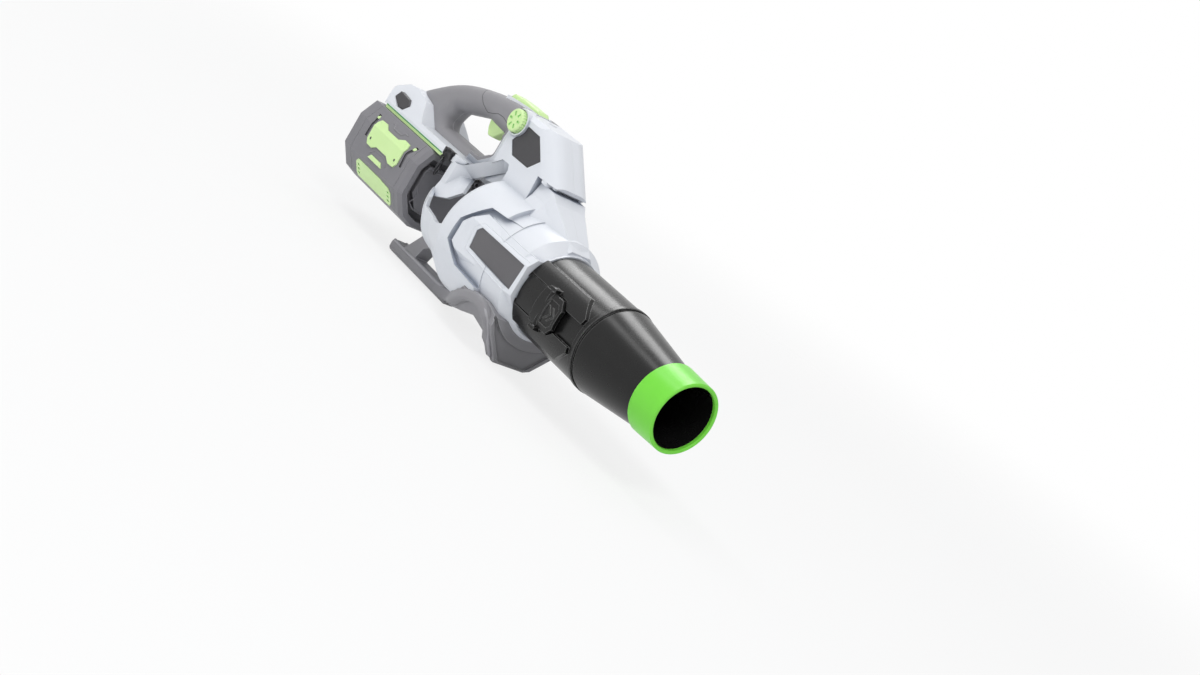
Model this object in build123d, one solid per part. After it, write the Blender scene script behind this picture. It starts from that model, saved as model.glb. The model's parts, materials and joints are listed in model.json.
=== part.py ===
from build123d import *

import os
from math import cos, pi, sin

# A battery leaf blower, in millimetres. The model is built around the blower axis: X runs forward
# from the coupling plane between housing and nozzle, Y to the left, Z up from the axis.
# At the end it is moved so that it stands on the ground plane with its box centred on the origin.

# Whole object
drum_clearance = 19.0
fit_gap = 0.4
seat_gap = 0.12
shell_wall = 4.0

# Nozzle, a tube that slides on the housing's spigot
nozzle_length = 255.0
nozzle_r = 52.0
nozzle_wall = 2.5
barrel_length = 119.0
bead_height = 1.3
bead_width = 7.0
bead_round = 0.8
groove_width = 3.5
groove_depth = 2.6
cone_start_r = 52.2
inner_taper = 8.0
cone_end_r = 39.8
tip_length = 41.0
tip_rear_r = 42.5
tip_front_r = 41.1
tip_wall = 4.3
tip_lip = 5.0
tip_round = 1.2

# Latch on the nozzle's right side, with the rails beside it
rail_height = 4.5
rail_inner = 14.0
rail_outer = 38.0
rail_length = 90.0
rail_nose = 21.0
pad_rear_x = 39.0
pad_length = 42.0
pad_half_width = 20.5
pad_corner = 9.0
pad_thickness = 5.0
pad_frame = 4.5
pad_recess = 1.3
chevron_height = 0.8
chevron_half = 8.0
chevron_width = 2.6
tongue_half_width = 18.5
tongue_thickness = 2.8
latch_lift = 0.8
latch_pivot_x = 52.0
latch_pin_r = 1.5
pin_clearance = 0.05
ear_thickness = 4.0
ear_length = 11.0

# Fan drum, front duct and intake cage, all turned about the blower axis
drum_r = 77.0
axis_height = drum_r + drum_clearance
drum_wall = 10.5
drum_rear_x = -152.0
drum_front_top_x = -72.0
drum_front_low_x = -52.0
drum_step = 5.5
duct_rear_r = drum_r - drum_step
duct_front_r = 65.0
collar_r = 53.5
collar_chamfer = 13.0
spigot_length = 36.0
cage_rear_x = -239.0
cage_rear_r = 48.0
cage_lip_x = -222.0
cage_lip_r = 57.5
cage_waist_x = -194.0
cage_waist_r = 61.5
window_bottom_z = -9.0
window_rear_x = -220.0
window_web = 18.0

# Faceted pod on each side of the duct, with an inset panel
pod_rear_x = -121.0
pod_inset = 2.5
pod_rear_y = drum_r - pod_inset
pod_front_y = 60.5
pod_top_z = 34.0
pod_bottom_z = -25.0
pod_bevel = 9.0
pod_step = 7.0
panel_margin = 10.0
panel_thickness = 1.8
panel_depth = 0.8

# Handle post and the ridge that runs from it down the duct
post_half_width = 32.0
post_top_z = 149.0
post_front_top_x = -120.0
post_rear_x = -226.0
post_corner = 56.0
post_nose_round = 22.0
post_top_bevel = 6.0
lip_x = -68.0
lip_z = 99.5
lip_depth = 32.0
lip_edge = 4.5
handle_base_z = 88.0
ridge_gap = 3.5
ridge_rear_half = 38.0
ridge_top_half = 25.0

# Handle loop, its grip and the battery arm
loop_rear_x = -336.0
loop_front_x = -203.0
loop_bottom_z = 69.0
loop_top_z = 111.0
grip_half_width = 19.0
grip_thickness = 36.0
grip_round = 15.0
lining = 4.0
arm_rear_x = -430.0
arm_bottom_z = 48.5
arm_top_z = 58.0
arm_half_width = 43.0
cheek_top_z = 86.0
cheek_half_width = 30.0

# Battery, an eight-sided pack hung under the arm
battery_rear_x = -440.0
battery_front_x = -275.0
battery_half_width = 58.0
battery_top_half = 46.0
battery_top_z = 44.0
battery_shoulder_z = 21.0
battery_knee_z = -20.0
battery_low_half = 40.0
battery_low_z = -46.0
battery_bottom_half = 20.0
battery_bottom_z = -55.0
rear_cap_length = 24.0
front_cap_length = 17.0
cap_seam = 0.6
cap_bevel = 7.0
insert_height = 1.4
insert_depth = 1.2
rail_half_width = 25.0
tongue_neck_half = 11.0
tongue_head_half = 18.5
tongue_neck_height = 5.5
tongue_head_height = 4.5
slot_gap = 0.6

# Controls
trigger_half_width = 7.0
trigger_pivot_x = -228.0
trigger_pivot_z = 114.5
trigger_pin_r = 1.5
lever_rear_x = -247.0
lever_front_x = -186.0
lever_half_width = 9.0
lever_height = 4.8
lever_pin_r = 1.5
bezel_border = 3.0
dial_x = -178.0
dial_z = 134.0
dial_r = 14.0
dial_thickness = 8.0
dial_shaft_r = 3.0
dial_teeth = 24
button_x = -394.0
button_z = 63.0
button_half_length = 19.0
button_half_height = 9.0
button_length = 9.0
button_travel = 3.0

# Fan and motor
fan_blades = 9
fan_hub_r = 24.0
fan_tip_gap = 1.0
fan_rear_x = -146.0
fan_length = 26.0
duct_wall = 3.0
stator_vanes = 7
motor_r = 24.0
motor_rear_x = -112.0
motor_length = 50.0
shaft_r = 4.0
bearing_r = 9.5
bearing_width = 7.0
tail_length = 42.0
guard_spokes = 12
guard_bar = 2.4

# Stand
stand_half_width = 10.0
bar_rear_x = -306.0
bar_front_x = -180.0
bar_height = 11.0
strut_reach = 37.0
stand_skin = 4.5
foot_rim = 5.0
foot_recess = 3.0
bar_round = 3.5
foot_half_width = 23.0
foot_depth = 22.0
saddle_mid_half = 44.0
saddle_mid_rise = 7.0
saddle_mid_z = -drum_r + saddle_mid_rise
saddle_tuck = 10.0
saddle_top_half = drum_r - saddle_tuck
saddle_front_half = 56.0
saddle_top_rise = 40.0
saddle_top_z = -drum_r + saddle_top_rise
foot_front_x = -8.0

# Strap bracket and ring on the right of the arm
bracket_gap = 11.0
bracket_x = cage_rear_x - bracket_gap
bracket_length = 20.0
bracket_thickness = 2.2
bracket_height = 9.5
ring_r = 11.0
ring_wire_r = 1.2
ring_gap = 0.3
eye_r = ring_wire_r + ring_gap

# Fasteners
screw_r = 1.75
screw_head_r = 3.4
screw_head_height = 2.4
screw_length = 42.0


# Helpers

def side_face(points, y):
    plane = Plane(origin=(0, y, 0), x_dir=(1, 0, 0), z_dir=(0, -1, 0))
    return plane * make_face(Polyline(*points, close=True))


def side_prism(points, y_low, y_high):
    return extrude(side_face(points, y_high), amount=y_high - y_low, dir=(0, -1, 0))


def rounded_prism(points, radii, y_low, y_high):
    plane = Plane(origin=(0, y_high, 0), x_dir=(1, 0, 0), z_dir=(0, -1, 0))
    face = plane * make_face(FilletPolyline(*points, radius=radii, close=True))
    return extrude(face, amount=y_high - y_low, dir=(0, -1, 0))


def cross_face(x, points):
    plane = Plane(origin=(x, 0, 0), x_dir=(0, 1, 0), z_dir=(1, 0, 0))
    return plane * make_face(Polyline(*points, close=True))


def cross_prism(points, x_low, x_high):
    return extrude(cross_face(x_low, points), amount=x_high - x_low, dir=(1, 0, 0))


def plan_prism(points, z_low, z_high):
    face = Pos(0, 0, z_low) * make_face(Polyline(*points, close=True))
    return extrude(face, amount=z_high - z_low, dir=(0, 0, 1))


def turned(points):
    return revolve(make_face(Polyline(*points, close=True)), axis=Axis.X)


def tube(x_low, x_high, r_in, r_out):
    return turned([(x_low, r_in), (x_high, r_in), (x_high, r_out), (x_low, r_out)])


def rod_x(x_low, x_high, r, y=0.0, z=0.0):
    disc = Plane(origin=(x_low, y, z), z_dir=(1, 0, 0)) * Circle(r)
    return extrude(disc, amount=x_high - x_low, dir=(1, 0, 0))


def rod_y(y_low, y_high, r, x, z):
    disc = Plane(origin=(x, y_low, z), z_dir=(0, 1, 0)) * Circle(r)
    return extrude(disc, amount=y_high - y_low, dir=(0, 1, 0))


def rod_z(z_low, z_high, r, x, y):
    return extrude(Pos(x, y, z_low) * Circle(r), amount=z_high - z_low, dir=(0, 0, 1))


def block(x_low, x_high, y_low, y_high, z_low, z_high):
    middle = Pos((x_low + x_high) / 2, (y_low + y_high) / 2, (z_low + z_high) / 2)
    return middle * Box(x_high - x_low, y_high - y_low, z_high - z_low)


def both_sides(right):
    return right + mirror(right, about=Plane.XZ)


def right_half(solid):
    far = 1000.0
    return solid & block(-far, far, -far, 0, -far, far)


def left_half(solid):
    far = 1000.0
    return solid & block(-far, far, 0, far, -far, far)


def along_x(x, points):
    for (x0, r0), (x1, r1) in zip(points, points[1:]):
        if x0 <= x <= x1:
            return r0 + (r1 - r0) * (x - x0) / (x1 - x0)
    return points[-1][1]


# Values that several pieces share

tip_x = nozzle_length - tip_length
tip_seat_r = tip_rear_r - tip_wall + 1.1
outlet_r = tip_front_r - tip_wall
spigot_r = nozzle_r - nozzle_wall - fit_gap
spigot_bore = spigot_r - 2.8
rail_r = nozzle_r + rail_height
bore_r = drum_r - drum_wall
cage_wall = shell_wall + 1.0
cage_bore = [
    (cage_rear_x, cage_rear_r - cage_wall),
    (cage_lip_x, cage_lip_r - cage_wall),
    (cage_waist_x, cage_waist_r - cage_wall),
    (drum_rear_x, bore_r - 1.0),
]
fan_duct_front_x = -91.0
outer_line = [
    (cage_rear_x, cage_rear_r),
    (cage_lip_x, cage_lip_r),
    (cage_waist_x, cage_waist_r),
    (drum_rear_x, drum_r - 2.0),
    (drum_rear_x + 5.0, drum_r),
    (drum_front_low_x, drum_r),
]
duct_line = [
    (drum_front_top_x, duct_rear_r),
    (-collar_chamfer - 3.0, duct_front_r),
    (-3.0, collar_r),
    (0.0, collar_r),
]
grip_top_z = post_top_z + 0.5
trigger_top_z = trigger_pivot_z + 4.5
shift = Pos(-(nozzle_length + battery_rear_x) / 2, 0, axis_height)


# Housing

def drum_and_duct(grow=0.0):
    drum = turned([(cage_rear_x, 0)] + [(x, r + grow) for x, r in outer_line] + [(drum_front_low_x, 0)])
    duct = turned([(drum_front_top_x, 0)] + [(x, r + grow) for x, r in duct_line] + [(0, 0)])
    # Above the pods the drum ends further back, at the foot of the handle post.
    front_trim = block(drum_front_top_x, drum_front_low_x + 1, -drum_r, drum_r, pod_top_z - 4, drum_r + 2)
    return drum - (front_trim - rod_x(drum_front_top_x - 1, drum_front_low_x + 2, duct_rear_r - 1.0)) + duct


def pod():
    rear = [
        (-pod_rear_y + 40, pod_top_z + 4),
        (-pod_rear_y + pod_bevel, pod_top_z + 4),
        (-pod_rear_y, pod_top_z - pod_bevel),
        (-pod_rear_y, pod_bottom_z + pod_bevel),
        (-pod_rear_y + pod_bevel, pod_bottom_z - 2),
        (-pod_rear_y + 40, pod_bottom_z - 2),
    ]
    front = [
        (-pod_front_y + 30, pod_top_z - 1),
        (-pod_front_y + pod_bevel, pod_top_z - 1),
        (-pod_front_y, pod_top_z - pod_bevel - 3),
        (-pod_front_y, pod_bottom_z + pod_bevel + 1),
        (-pod_front_y + pod_bevel, pod_bottom_z + 1),
        (-pod_front_y + 30, pod_bottom_z + 1),
    ]
    return loft([cross_face(pod_rear_x, rear), cross_face(-1.0, front)], ruled=True)


def pod_outline(margin):
    return [
        (-1.0 - margin, pod_top_z + 12 - margin),
        (pod_rear_x + 21 + 0.4 * margin, pod_top_z + 4 - margin),
        (pod_rear_x + 0.8 * margin, pod_top_z - 20 - 0.2 * margin),
        (pod_rear_x + margin, pod_bottom_z + 14 + 0.2 * margin),
        (pod_rear_x + 24 + 0.4 * margin, pod_bottom_z + 1 + margin),
        (-1.0 - margin, pod_bottom_z - 6 + margin),
    ]


def pod_pocket():
    # The drum steps down to the duct all round the rear end of the pod.
    around = side_prism(pod_outline(-pod_step), -drum_r - 5, -drum_r / 2)
    return around - rod_x(pod_rear_x - 20, 10, duct_rear_r - 1.5)


def panel_outline(gap=0.0):
    front_x = -6.0
    top_z = pod_top_z - pod_bevel - 2
    low_z = pod_bottom_z + pod_bevel + 5
    rear_x = pod_rear_x + panel_margin + 16
    return [
        (front_x + gap, top_z - 2 + gap),
        (rear_x + 6 - gap, top_z + gap),
        (rear_x - gap, top_z - 6),
        (rear_x + 3 - gap, low_z + 7),
        (front_x - 2 + gap, low_z - gap),
    ]


def trimmed_pod():
    return pod() & side_prism(pod_outline(0.0), -pod_rear_y - 1, -pod_rear_y / 3)


def panel_recess():
    cut = side_prism(panel_outline(), -pod_rear_y - 5, -pod_front_y + 12)
    return cut - Pos(0, panel_depth + panel_thickness, 0) * pod()


def side_panel():
    plate = side_prism(panel_outline(-seat_gap), -pod_rear_y - 5, -pod_front_y + 12)
    inner = Pos(0, panel_depth + panel_thickness - seat_gap, 0) * pod()
    return (plate & Pos(0, panel_depth, 0) * pod()) - inner


def ridge():
    top = lip_z - ridge_gap
    foot = ridge_rear_half
    crown = ridge_top_half

    def section(x, low, half_low, side, half_side, high, half_high):
        right = [(-half_low, low), (-half_low, side - 18), (-half_side, side), (-half_high, high)]
        return cross_face(x, right + [(-y, z) for y, z in reversed(right)])

    rear = section(drum_front_top_x - 24, 50, foot, 80, crown + 4, top, crown)
    middle = section(lip_x - 1, 50, foot, 79, crown + 3, top - 1, crown)
    shoulder = section(lip_x + 8, 45, foot - 2, 73, crown + 2, top - 8, crown - 2)
    front = section(-4.0, 25, foot / 2, collar_r - 1, foot / 2 - 1, collar_r + 2.5, foot / 2 - 5)
    return loft([rear, middle, shoulder, front], ruled=True)


def loop_points():
    return [
        (loop_rear_x, loop_bottom_z),
        (loop_rear_x + 11, loop_top_z - 17),
        (loop_rear_x + 68, loop_top_z),
        (loop_front_x, loop_top_z - 5),
        (loop_front_x, loop_top_z - 27),
        (loop_front_x - 24, loop_bottom_z),
    ]


loop_radii = [8.0, 14.0, 60.0, 8.0, 8.0, 24.0]


def loop_hole():
    return rounded_prism(loop_points(), loop_radii, -arm_half_width * 2, arm_half_width * 2)


def post():
    outline = [
        (post_rear_x - 20, arm_bottom_z),
        (post_rear_x + 6, arm_bottom_z + 1),
        (post_rear_x + post_corner, handle_base_z),
        (drum_rear_x - 4, handle_base_z),
        (drum_rear_x, handle_base_z - 6),
        (drum_rear_x, drum_r - 20),
        (lip_x - lip_depth + 3, drum_r - 20),
        (lip_x - lip_depth, lip_z),
        (lip_x - 2, lip_z),
        (lip_x, lip_z + lip_edge),
        (post_front_top_x, post_top_z),
        (loop_front_x + 4, post_top_z),
        (loop_front_x - 4, loop_top_z - 4),
        (loop_front_x - 4, loop_top_z - 30),
        (loop_front_x - 24, loop_bottom_z + 2),
        (post_rear_x - 20, loop_bottom_z + 2),
    ]
    solid = side_prism(outline, -post_half_width, post_half_width)
    # The slanted front is rounded at both sides, like the bow of a boat, and the top edges are bevelled.
    slope = Vector(post_front_top_x - lip_x, 0, post_top_z - lip_z - lip_edge).normalized()
    depth = 250.0
    plane = Plane(origin=(lip_x, 0, lip_z + lip_edge), x_dir=(0, 1, 0), z_dir=slope)
    bow = [(-post_half_width, 0), (post_half_width, 0), (post_half_width, depth), (-post_half_width, depth)]
    bow_radii = [post_nose_round, post_nose_round, 0, 0]
    face = plane * make_face(FilletPolyline(*bow, radius=bow_radii, close=True))
    solid = solid & extrude(face, amount=depth, both=True)
    bevel = [
        (-post_half_width, 0),
        (-post_half_width, post_top_z - post_top_bevel),
        (-post_half_width + post_top_bevel, post_top_z + 0.1),
        (post_half_width - post_top_bevel, post_top_z + 0.1),
        (post_half_width, post_top_z - post_top_bevel),
        (post_half_width, 0),
    ]
    solid = solid & cross_prism(bevel, arm_rear_x, 0)
    # Towards the hand hole the post narrows to little more than the grip.
    neck = grip_half_width + 2.0
    plan = [(post_rear_x - 25, -neck), (loop_front_x - 3, -neck), (loop_front_x + 19, -post_half_width),
            (0, -post_half_width)]
    plan = plan + [(x, -y) for x, y in reversed(plan)]
    return solid & plan_prism(plan, 0, post_top_z + 5)


def web():
    outline = [
        (post_rear_x + 6, cage_lip_r - 4),
        (post_rear_x + 6, arm_bottom_z + 8),
        (post_rear_x + 52, handle_base_z + 4),
        (drum_rear_x + 2, handle_base_z + 4),
        (drum_rear_x + 2, drum_r - 12),
    ]
    return side_prism(outline, -window_web, window_web)


def scoop():
    # A curved wall leads air in from behind. It leaves the arm and the cage's rear rim, turns inwards
    # behind a free edge, and runs on under the post to the drum.
    wall = shell_wall + 1.0

    def section(*points):
        inner = [(x, y + wall, z) for x, y, z in reversed(points)]
        return make_face(Polyline(*points, *inner, close=True))

    def crease(top, low, share, y):
        return (top[0] + share * (low[0] - top[0]), y, top[2] + share * (low[2] - top[2]))

    rear_x = cage_rear_x + 0.5
    rim_x = cage_rear_x + 10
    out = -arm_half_width
    under_arm = arm_bottom_z + 2
    lip_y = -cage_rear_r + 1
    tops = [(rear_x, out + 1, under_arm), (rim_x, out + 2, under_arm),
            (cage_lip_x - 4, out + 4, under_arm + 1), (cage_lip_x, out + 6, under_arm + 2.5)]
    lows = [(rear_x, lip_y, 6), (rim_x, lip_y, 4),
            (cage_lip_x + 14, out - 2, 12), (cage_waist_x + 1, out + 3, 28)]
    creases = [crease(tops[0], lows[0], 0.64, out), crease(tops[1], lows[1], 0.62, out + 1),
               crease(tops[2], lows[2], 0.28, out + 10), crease(tops[3], lows[3], 0.345, -window_web - 6)]
    curve = [section(*points) for points in zip(tops, creases, lows)]
    mouth = section(tops[3], creases[3])
    under_post_x = post_rear_x + post_corner
    roof_top = (under_post_x, -post_half_width + 1, handle_base_z + 1)
    roof = section(roof_top, (under_post_x, -window_web - 2, drum_r - 3))
    front_x = drum_rear_x + 1
    front_top = (front_x, -post_half_width + 2, handle_base_z + 1)
    front = section(front_top, (front_x, -window_web - 1, handle_base_z - 3))
    spans = list(zip(curve, curve[1:])) + [(mouth, roof), (roof, front)]
    return both_sides(Part() + [loft(list(span), ruled=True) for span in spans])


def arm():
    outline = [
        (post_rear_x, arm_bottom_z),
        (arm_rear_x + 3, arm_bottom_z),
        (arm_rear_x, arm_bottom_z + 5),
        (arm_rear_x + 2, cheek_top_z - 13),
        (arm_rear_x + 18, cheek_top_z - 2),
        (arm_rear_x + 40, cheek_top_z),
        (arm_rear_x + 69, cheek_top_z - 6),
        (arm_rear_x + 97, arm_top_z),
        (post_rear_x + 5, arm_top_z),
    ]
    section = [
        (-arm_half_width, arm_bottom_z - 1),
        (-arm_half_width, arm_bottom_z + 4),
        (-cheek_half_width - 6, cheek_top_z - 16),
        (-cheek_half_width + 4, cheek_top_z + 1),
        (cheek_half_width - 4, cheek_top_z + 1),
        (cheek_half_width + 6, cheek_top_z - 16),
        (arm_half_width, arm_bottom_z + 4),
        (arm_half_width, arm_bottom_z - 1),
    ]
    plan = [
        (arm_rear_x - 1, -arm_half_width + 8),
        (arm_rear_x + 9, -arm_half_width - 0.1),
        (bracket_x + 12, -arm_half_width - 0.1),
        (post_rear_x + 5, -post_half_width - 2),
        (post_rear_x + 5, post_half_width + 2),
        (bracket_x + 12, arm_half_width + 0.1),
        (arm_rear_x + 9, arm_half_width + 0.1),
        (arm_rear_x - 1, arm_half_width - 8),
    ]
    solid = side_prism(outline, -arm_half_width, arm_half_width)
    solid = solid & cross_prism(section, arm_rear_x - 5, post_rear_x + 10)
    return solid & plan_prism(plan, arm_bottom_z - 5, cheek_top_z + 5)


def grip_blank():
    top = [
        (loop_front_x + 40, grip_top_z),
        (loop_front_x - 10, grip_top_z),
        (loop_rear_x + 84, loop_top_z + grip_thickness - 2),
        (loop_rear_x + 38, loop_top_z + grip_thickness - 11),
        (loop_rear_x + 6, loop_top_z + grip_thickness - 20),
        (loop_rear_x - 34, loop_top_z - 3),
        (arm_rear_x + 26, cheek_top_z),
    ]
    curve = Spline(*top[1:], tangents=[(-1, 0), (-1, -0.75)], tangent_scalars=[0.6, 0.6])
    start = Line(top[0], top[1])
    low_z = arm_bottom_z + 0.5
    end = Polyline(top[-1], (arm_rear_x + 26, low_z), (loop_front_x + 40, low_z), top[0])
    plane = Plane(origin=(0, grip_half_width, 0), x_dir=(1, 0, 0), z_dir=(0, -1, 0))
    face = plane * make_face([*start.edges(), *curve.edges(), *end.edges()])
    solid = extrude(face, amount=2 * grip_half_width, dir=(0, -1, 0))
    solid = solid - rounded_prism(loop_points(), loop_radii, -grip_half_width - 1, grip_half_width + 1)
    rim = solid.edges().filter_by(
        lambda e: abs(abs(e.center().Y) - grip_half_width) < 0.01
        and e.center().Z > low_z + 1
        and e.center().X < loop_front_x + 39
        and e.center().X > arm_rear_x + 27)
    return fillet(rim, grip_round)


def grip_region(gap=0.0):
    points = [
        (loop_front_x + 21 + gap, post_top_z + 20),
        (loop_front_x + 21 + gap, post_top_z + 1),
        (loop_front_x + lining + gap, loop_top_z - 4),
        (loop_front_x + lining + gap, loop_top_z - 28 - gap),
        (loop_front_x - 22 + gap, loop_bottom_z - lining - gap),
        (post_rear_x - 20, loop_bottom_z - lining - gap),
        (post_rear_x - 26, arm_top_z - gap),
        (arm_rear_x + 97 - gap, arm_top_z - gap),
        (arm_rear_x + 69 - gap, cheek_top_z - 6 - gap),
        (arm_rear_x + 40 - gap, cheek_top_z - gap),
        (arm_rear_x + 10, cheek_top_z + 6),
        (arm_rear_x + 10, post_top_z + 20),
    ]
    return side_prism(points, -arm_half_width - 5, arm_half_width + 5)


def window():
    outline = [
        (drum_rear_x, window_bottom_z + 4),
        (drum_rear_x - 22, window_bottom_z - 3),
        (window_rear_x + 2, window_bottom_z + 1),
        (window_rear_x - 2, window_bottom_z + 12),
        (cage_rear_x - 6, window_bottom_z + 24),
        (cage_rear_x - 6, cage_lip_r + 3),
        (post_rear_x + post_corner, handle_base_z),
        (drum_rear_x - 4, handle_base_z),
        (drum_rear_x, handle_base_z - 6),
    ]
    return both_sides(side_prism(outline, -drum_r - 10, -window_web))


def air_way():
    return turned([
        (cage_rear_x - 4, 0),
        (cage_rear_x - 4, cage_rear_r - cage_wall),
        *cage_bore,
        (drum_rear_x + 4, bore_r),
        (fan_duct_front_x, bore_r),
        (fan_duct_front_x, bore_r - duct_wall),
        (drum_front_low_x - 14, bore_r - duct_wall - 2),
        (-collar_chamfer - 3, duct_front_r - shell_wall - 5),
        (-6, spigot_bore),
        (spigot_length + 1, spigot_bore),
        (spigot_length + 1, 0),
    ])


def post_cavity():
    inset = shell_wall
    outline = [
        (loop_front_x + 15, handle_base_z + 6),
        (loop_front_x + 15, post_top_z - inset - 3),
        (post_front_top_x - 20, post_top_z - inset - 3),
        (lip_x - lip_depth - 22, lip_z + 28),
        (lip_x - lip_depth - 22, handle_base_z + 4),
        (drum_rear_x + 4, handle_base_z + 4),
    ]
    return side_prism(outline, -post_half_width + inset, post_half_width - inset)


badge_outline = [
    (dial_x + 4, lip_z + 13),
    (dial_x + 18, lip_z + 37),
    (dial_x + 45, lip_z + 36),
    (dial_x + 69, lip_z + 14),
    (dial_x + 54, lip_z - 1),
    (dial_x + 18, lip_z - 1),
]


def grown(points, amount):
    middle_x = sum(p[0] for p in points) / len(points)
    middle_z = sum(p[1] for p in points) / len(points)
    span = max(abs(p[0] - middle_x) for p in points)
    scale = 1 + amount / span
    return [(middle_x + (x - middle_x) * scale, middle_z + (z - middle_z) * scale) for x, z in points]


def post_badge():
    y = -post_half_width + panel_depth
    plate = side_prism(grown(badge_outline, -seat_gap), y, y + panel_thickness)
    return plate - dial_bezel_boss(seat_gap)


def badge_recess():
    y = -post_half_width
    cut = side_prism(badge_outline, y - 1, y + panel_depth + panel_thickness + seat_gap)
    return cut - dial_bezel_boss()


screw_spots = [
    (dial_x + 16, lip_z + 41.5),
    (dial_x + 77, lip_z + 6.5),
    (dial_x + 10, handle_base_z + 8),
    (arm_rear_x + 16, arm_top_z + 10),
    (arm_rear_x + 60, arm_top_z + 13),
]


def screw_bosses():
    reach = post_half_width - 1
    return [rod_y(-reach, reach, screw_head_r + 2.2, x, z) for x, z in screw_spots]


def screw_side(z):
    return post_half_width if z > cheek_top_z else cheek_half_width + 2.0


def housing_screw(x, z, gap=0.0):
    outer = screw_side(z) - 2.0
    head = rod_y(outer - screw_head_height - gap, outer + gap, screw_head_r + gap, x, z)
    return head + rod_y(outer - screw_length - gap, outer, screw_r + gap, x, z)


def screw_hole(x, z):
    mouth = rod_y(screw_side(z) - 3.0, arm_half_width + 2, screw_head_r + seat_gap, x, z)
    return housing_screw(x, z, seat_gap) + mouth


def rail_pocket(gap=0.0):
    half = rail_half_width + gap
    top = rail_top_z + gap
    return block(arm_rear_x - 2, rail_front_x + gap, -half, half, arm_bottom_z - 1, top)


rail_front_x = battery_front_x + 14.0
rail_top_z = arm_top_z - 0.5
button_outline = [
    (button_x - button_half_length, button_z - 1),
    (button_x - button_half_length + 7, button_z + button_half_height),
    (button_x + button_half_length - 7, button_z + button_half_height - 2),
    (button_x + button_half_length, button_z + 1),
    (button_x + button_half_length - 6, button_z - button_half_height + 1),
    (button_x - 2, button_z - button_half_height),
]
button_face_y = -arm_half_width + 3.0


def button_pocket():
    inner = button_face_y + button_length + button_travel + 1.5
    return side_prism(grown(button_outline, fit_gap), -arm_half_width - 2, inner)


def dial_pocket():
    face = -post_half_width
    recess = rod_y(face - 6, face + 2.5, dial_r + fit_gap + 0.6, dial_x, dial_z)
    return recess + rod_y(face - 1, face + shell_wall + 3, dial_shaft_r + fit_gap, dial_x, dial_z)


def dial_bezel_boss(gap=0.0):
    face = -post_half_width
    return rod_y(face - 2.5, face + 12, dial_r + 3.0 + gap, dial_x, dial_z)


def handle_blank():
    blank = post() + arm() + grip_blank()
    return blank - loop_hole()


def housing():
    white = drum_and_duct() + both_sides(trimmed_pod()) - both_sides(pod_pocket() - trimmed_pod())
    white = white + rod_x(-6, spigot_length, spigot_r) + ridge() + web()
    white = white - window()
    handle = handle_blank() + dial_bezel_boss() - grip_region(seat_gap)
    white = white + handle
    white = white - air_way() + scoop() - (post_cavity() - screw_bosses())
    white = white - both_sides(panel_recess()) - both_sides(badge_recess())
    white = white - rail_pocket(seat_gap) - button_pocket() - dial_pocket() - lever_pocket()
    white = white - [screw_hole(x, z) for x, z in screw_spots]
    return white - stand_bolt_holes() - bracket_screws(seat_gap)


# Grip and controls

def trigger_pocket():
    rear = trigger_pivot_x - 37.5
    front = trigger_pivot_x + 5.5
    half = trigger_half_width + 0.6
    return block(rear, front, -half, half, loop_top_z - 20, trigger_top_z + 6.5)


def trigger():
    x = trigger_pivot_x
    z = trigger_pivot_z
    outline = [
        (x - 35.5, loop_top_z + 2),
        (x - 31, z - 14),
        (x - 25, z - 21.5),
        (x - 14, z - 20.5),
        (x - 3, z - 10),
        (x + 4, z - 5),
        (x + 4, trigger_top_z),
        (x - 32, trigger_top_z),
    ]
    half = trigger_half_width
    solid = rounded_prism(outline, [0, 12, 5, 5, 0, 0, 0, 0], -half, half)
    low = solid.edges().filter_by(lambda e: abs(abs(e.center().Y) - half) < 0.01 and e.center().Z < z - 5.5)
    solid = fillet(low, 2.0)
    return solid - rod_y(-half - 1, half + 1, trigger_pin_r + pin_clearance, x, z)


def trigger_pin():
    half = trigger_half_width + 5
    return rod_y(-half, half, trigger_pin_r, trigger_pivot_x, trigger_pivot_z)


def trigger_switch(gap=0.0):
    x = trigger_pivot_x + 6.5
    low = trigger_pivot_z - 1 - gap
    return block(x - gap, x + 17 + gap, -8 - gap, 8 + gap, low, trigger_pivot_z + 14 + gap)


def trigger_spring():
    x = trigger_pivot_x - 22
    sleeve = rod_z(trigger_top_z + 0.2, trigger_top_z + 6.2, 3.0, x, 0)
    return sleeve - rod_z(trigger_top_z, trigger_top_z + 7, 2.2, x, 0)


bezel_bottom_z = grip_top_z - 12.0


def lever_bezel(gap=0.0):
    half = lever_half_width + bezel_border + gap
    rear = lever_rear_x - bezel_border - gap
    front = lever_front_x + bezel_border + gap
    outline = [
        (rear, bezel_bottom_z - gap),
        (front, bezel_bottom_z - gap),
        (front, grip_top_z + 0.8),
        (lever_rear_x + 40, grip_top_z + 0.8),
        (rear, grip_top_z - 2.0),
    ]
    return side_prism(outline, -half, half)


def lever_opening(gap):
    half = lever_half_width + gap
    return block(lever_rear_x - gap, lever_front_x + gap, -half, half, bezel_bottom_z - 8, grip_top_z + 10)


def lever_pocket():
    floor = bezel_bottom_z - 6
    half = lever_half_width + 0.8
    deep = block(lever_rear_x - 0.8, lever_front_x + 0.8, -half, half, floor, grip_top_z)
    return lever_bezel(seat_gap) + deep


def bezel():
    x, z = lever_pivot()
    half = lever_half_width + bezel_border + 1
    return lever_bezel() - lever_opening(0.8) - rod_y(-half, half, lever_pin_r + seat_gap / 2, x, z)


def lever_pivot():
    return lever_front_x - 5.0, grip_top_z - 3.5


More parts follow.
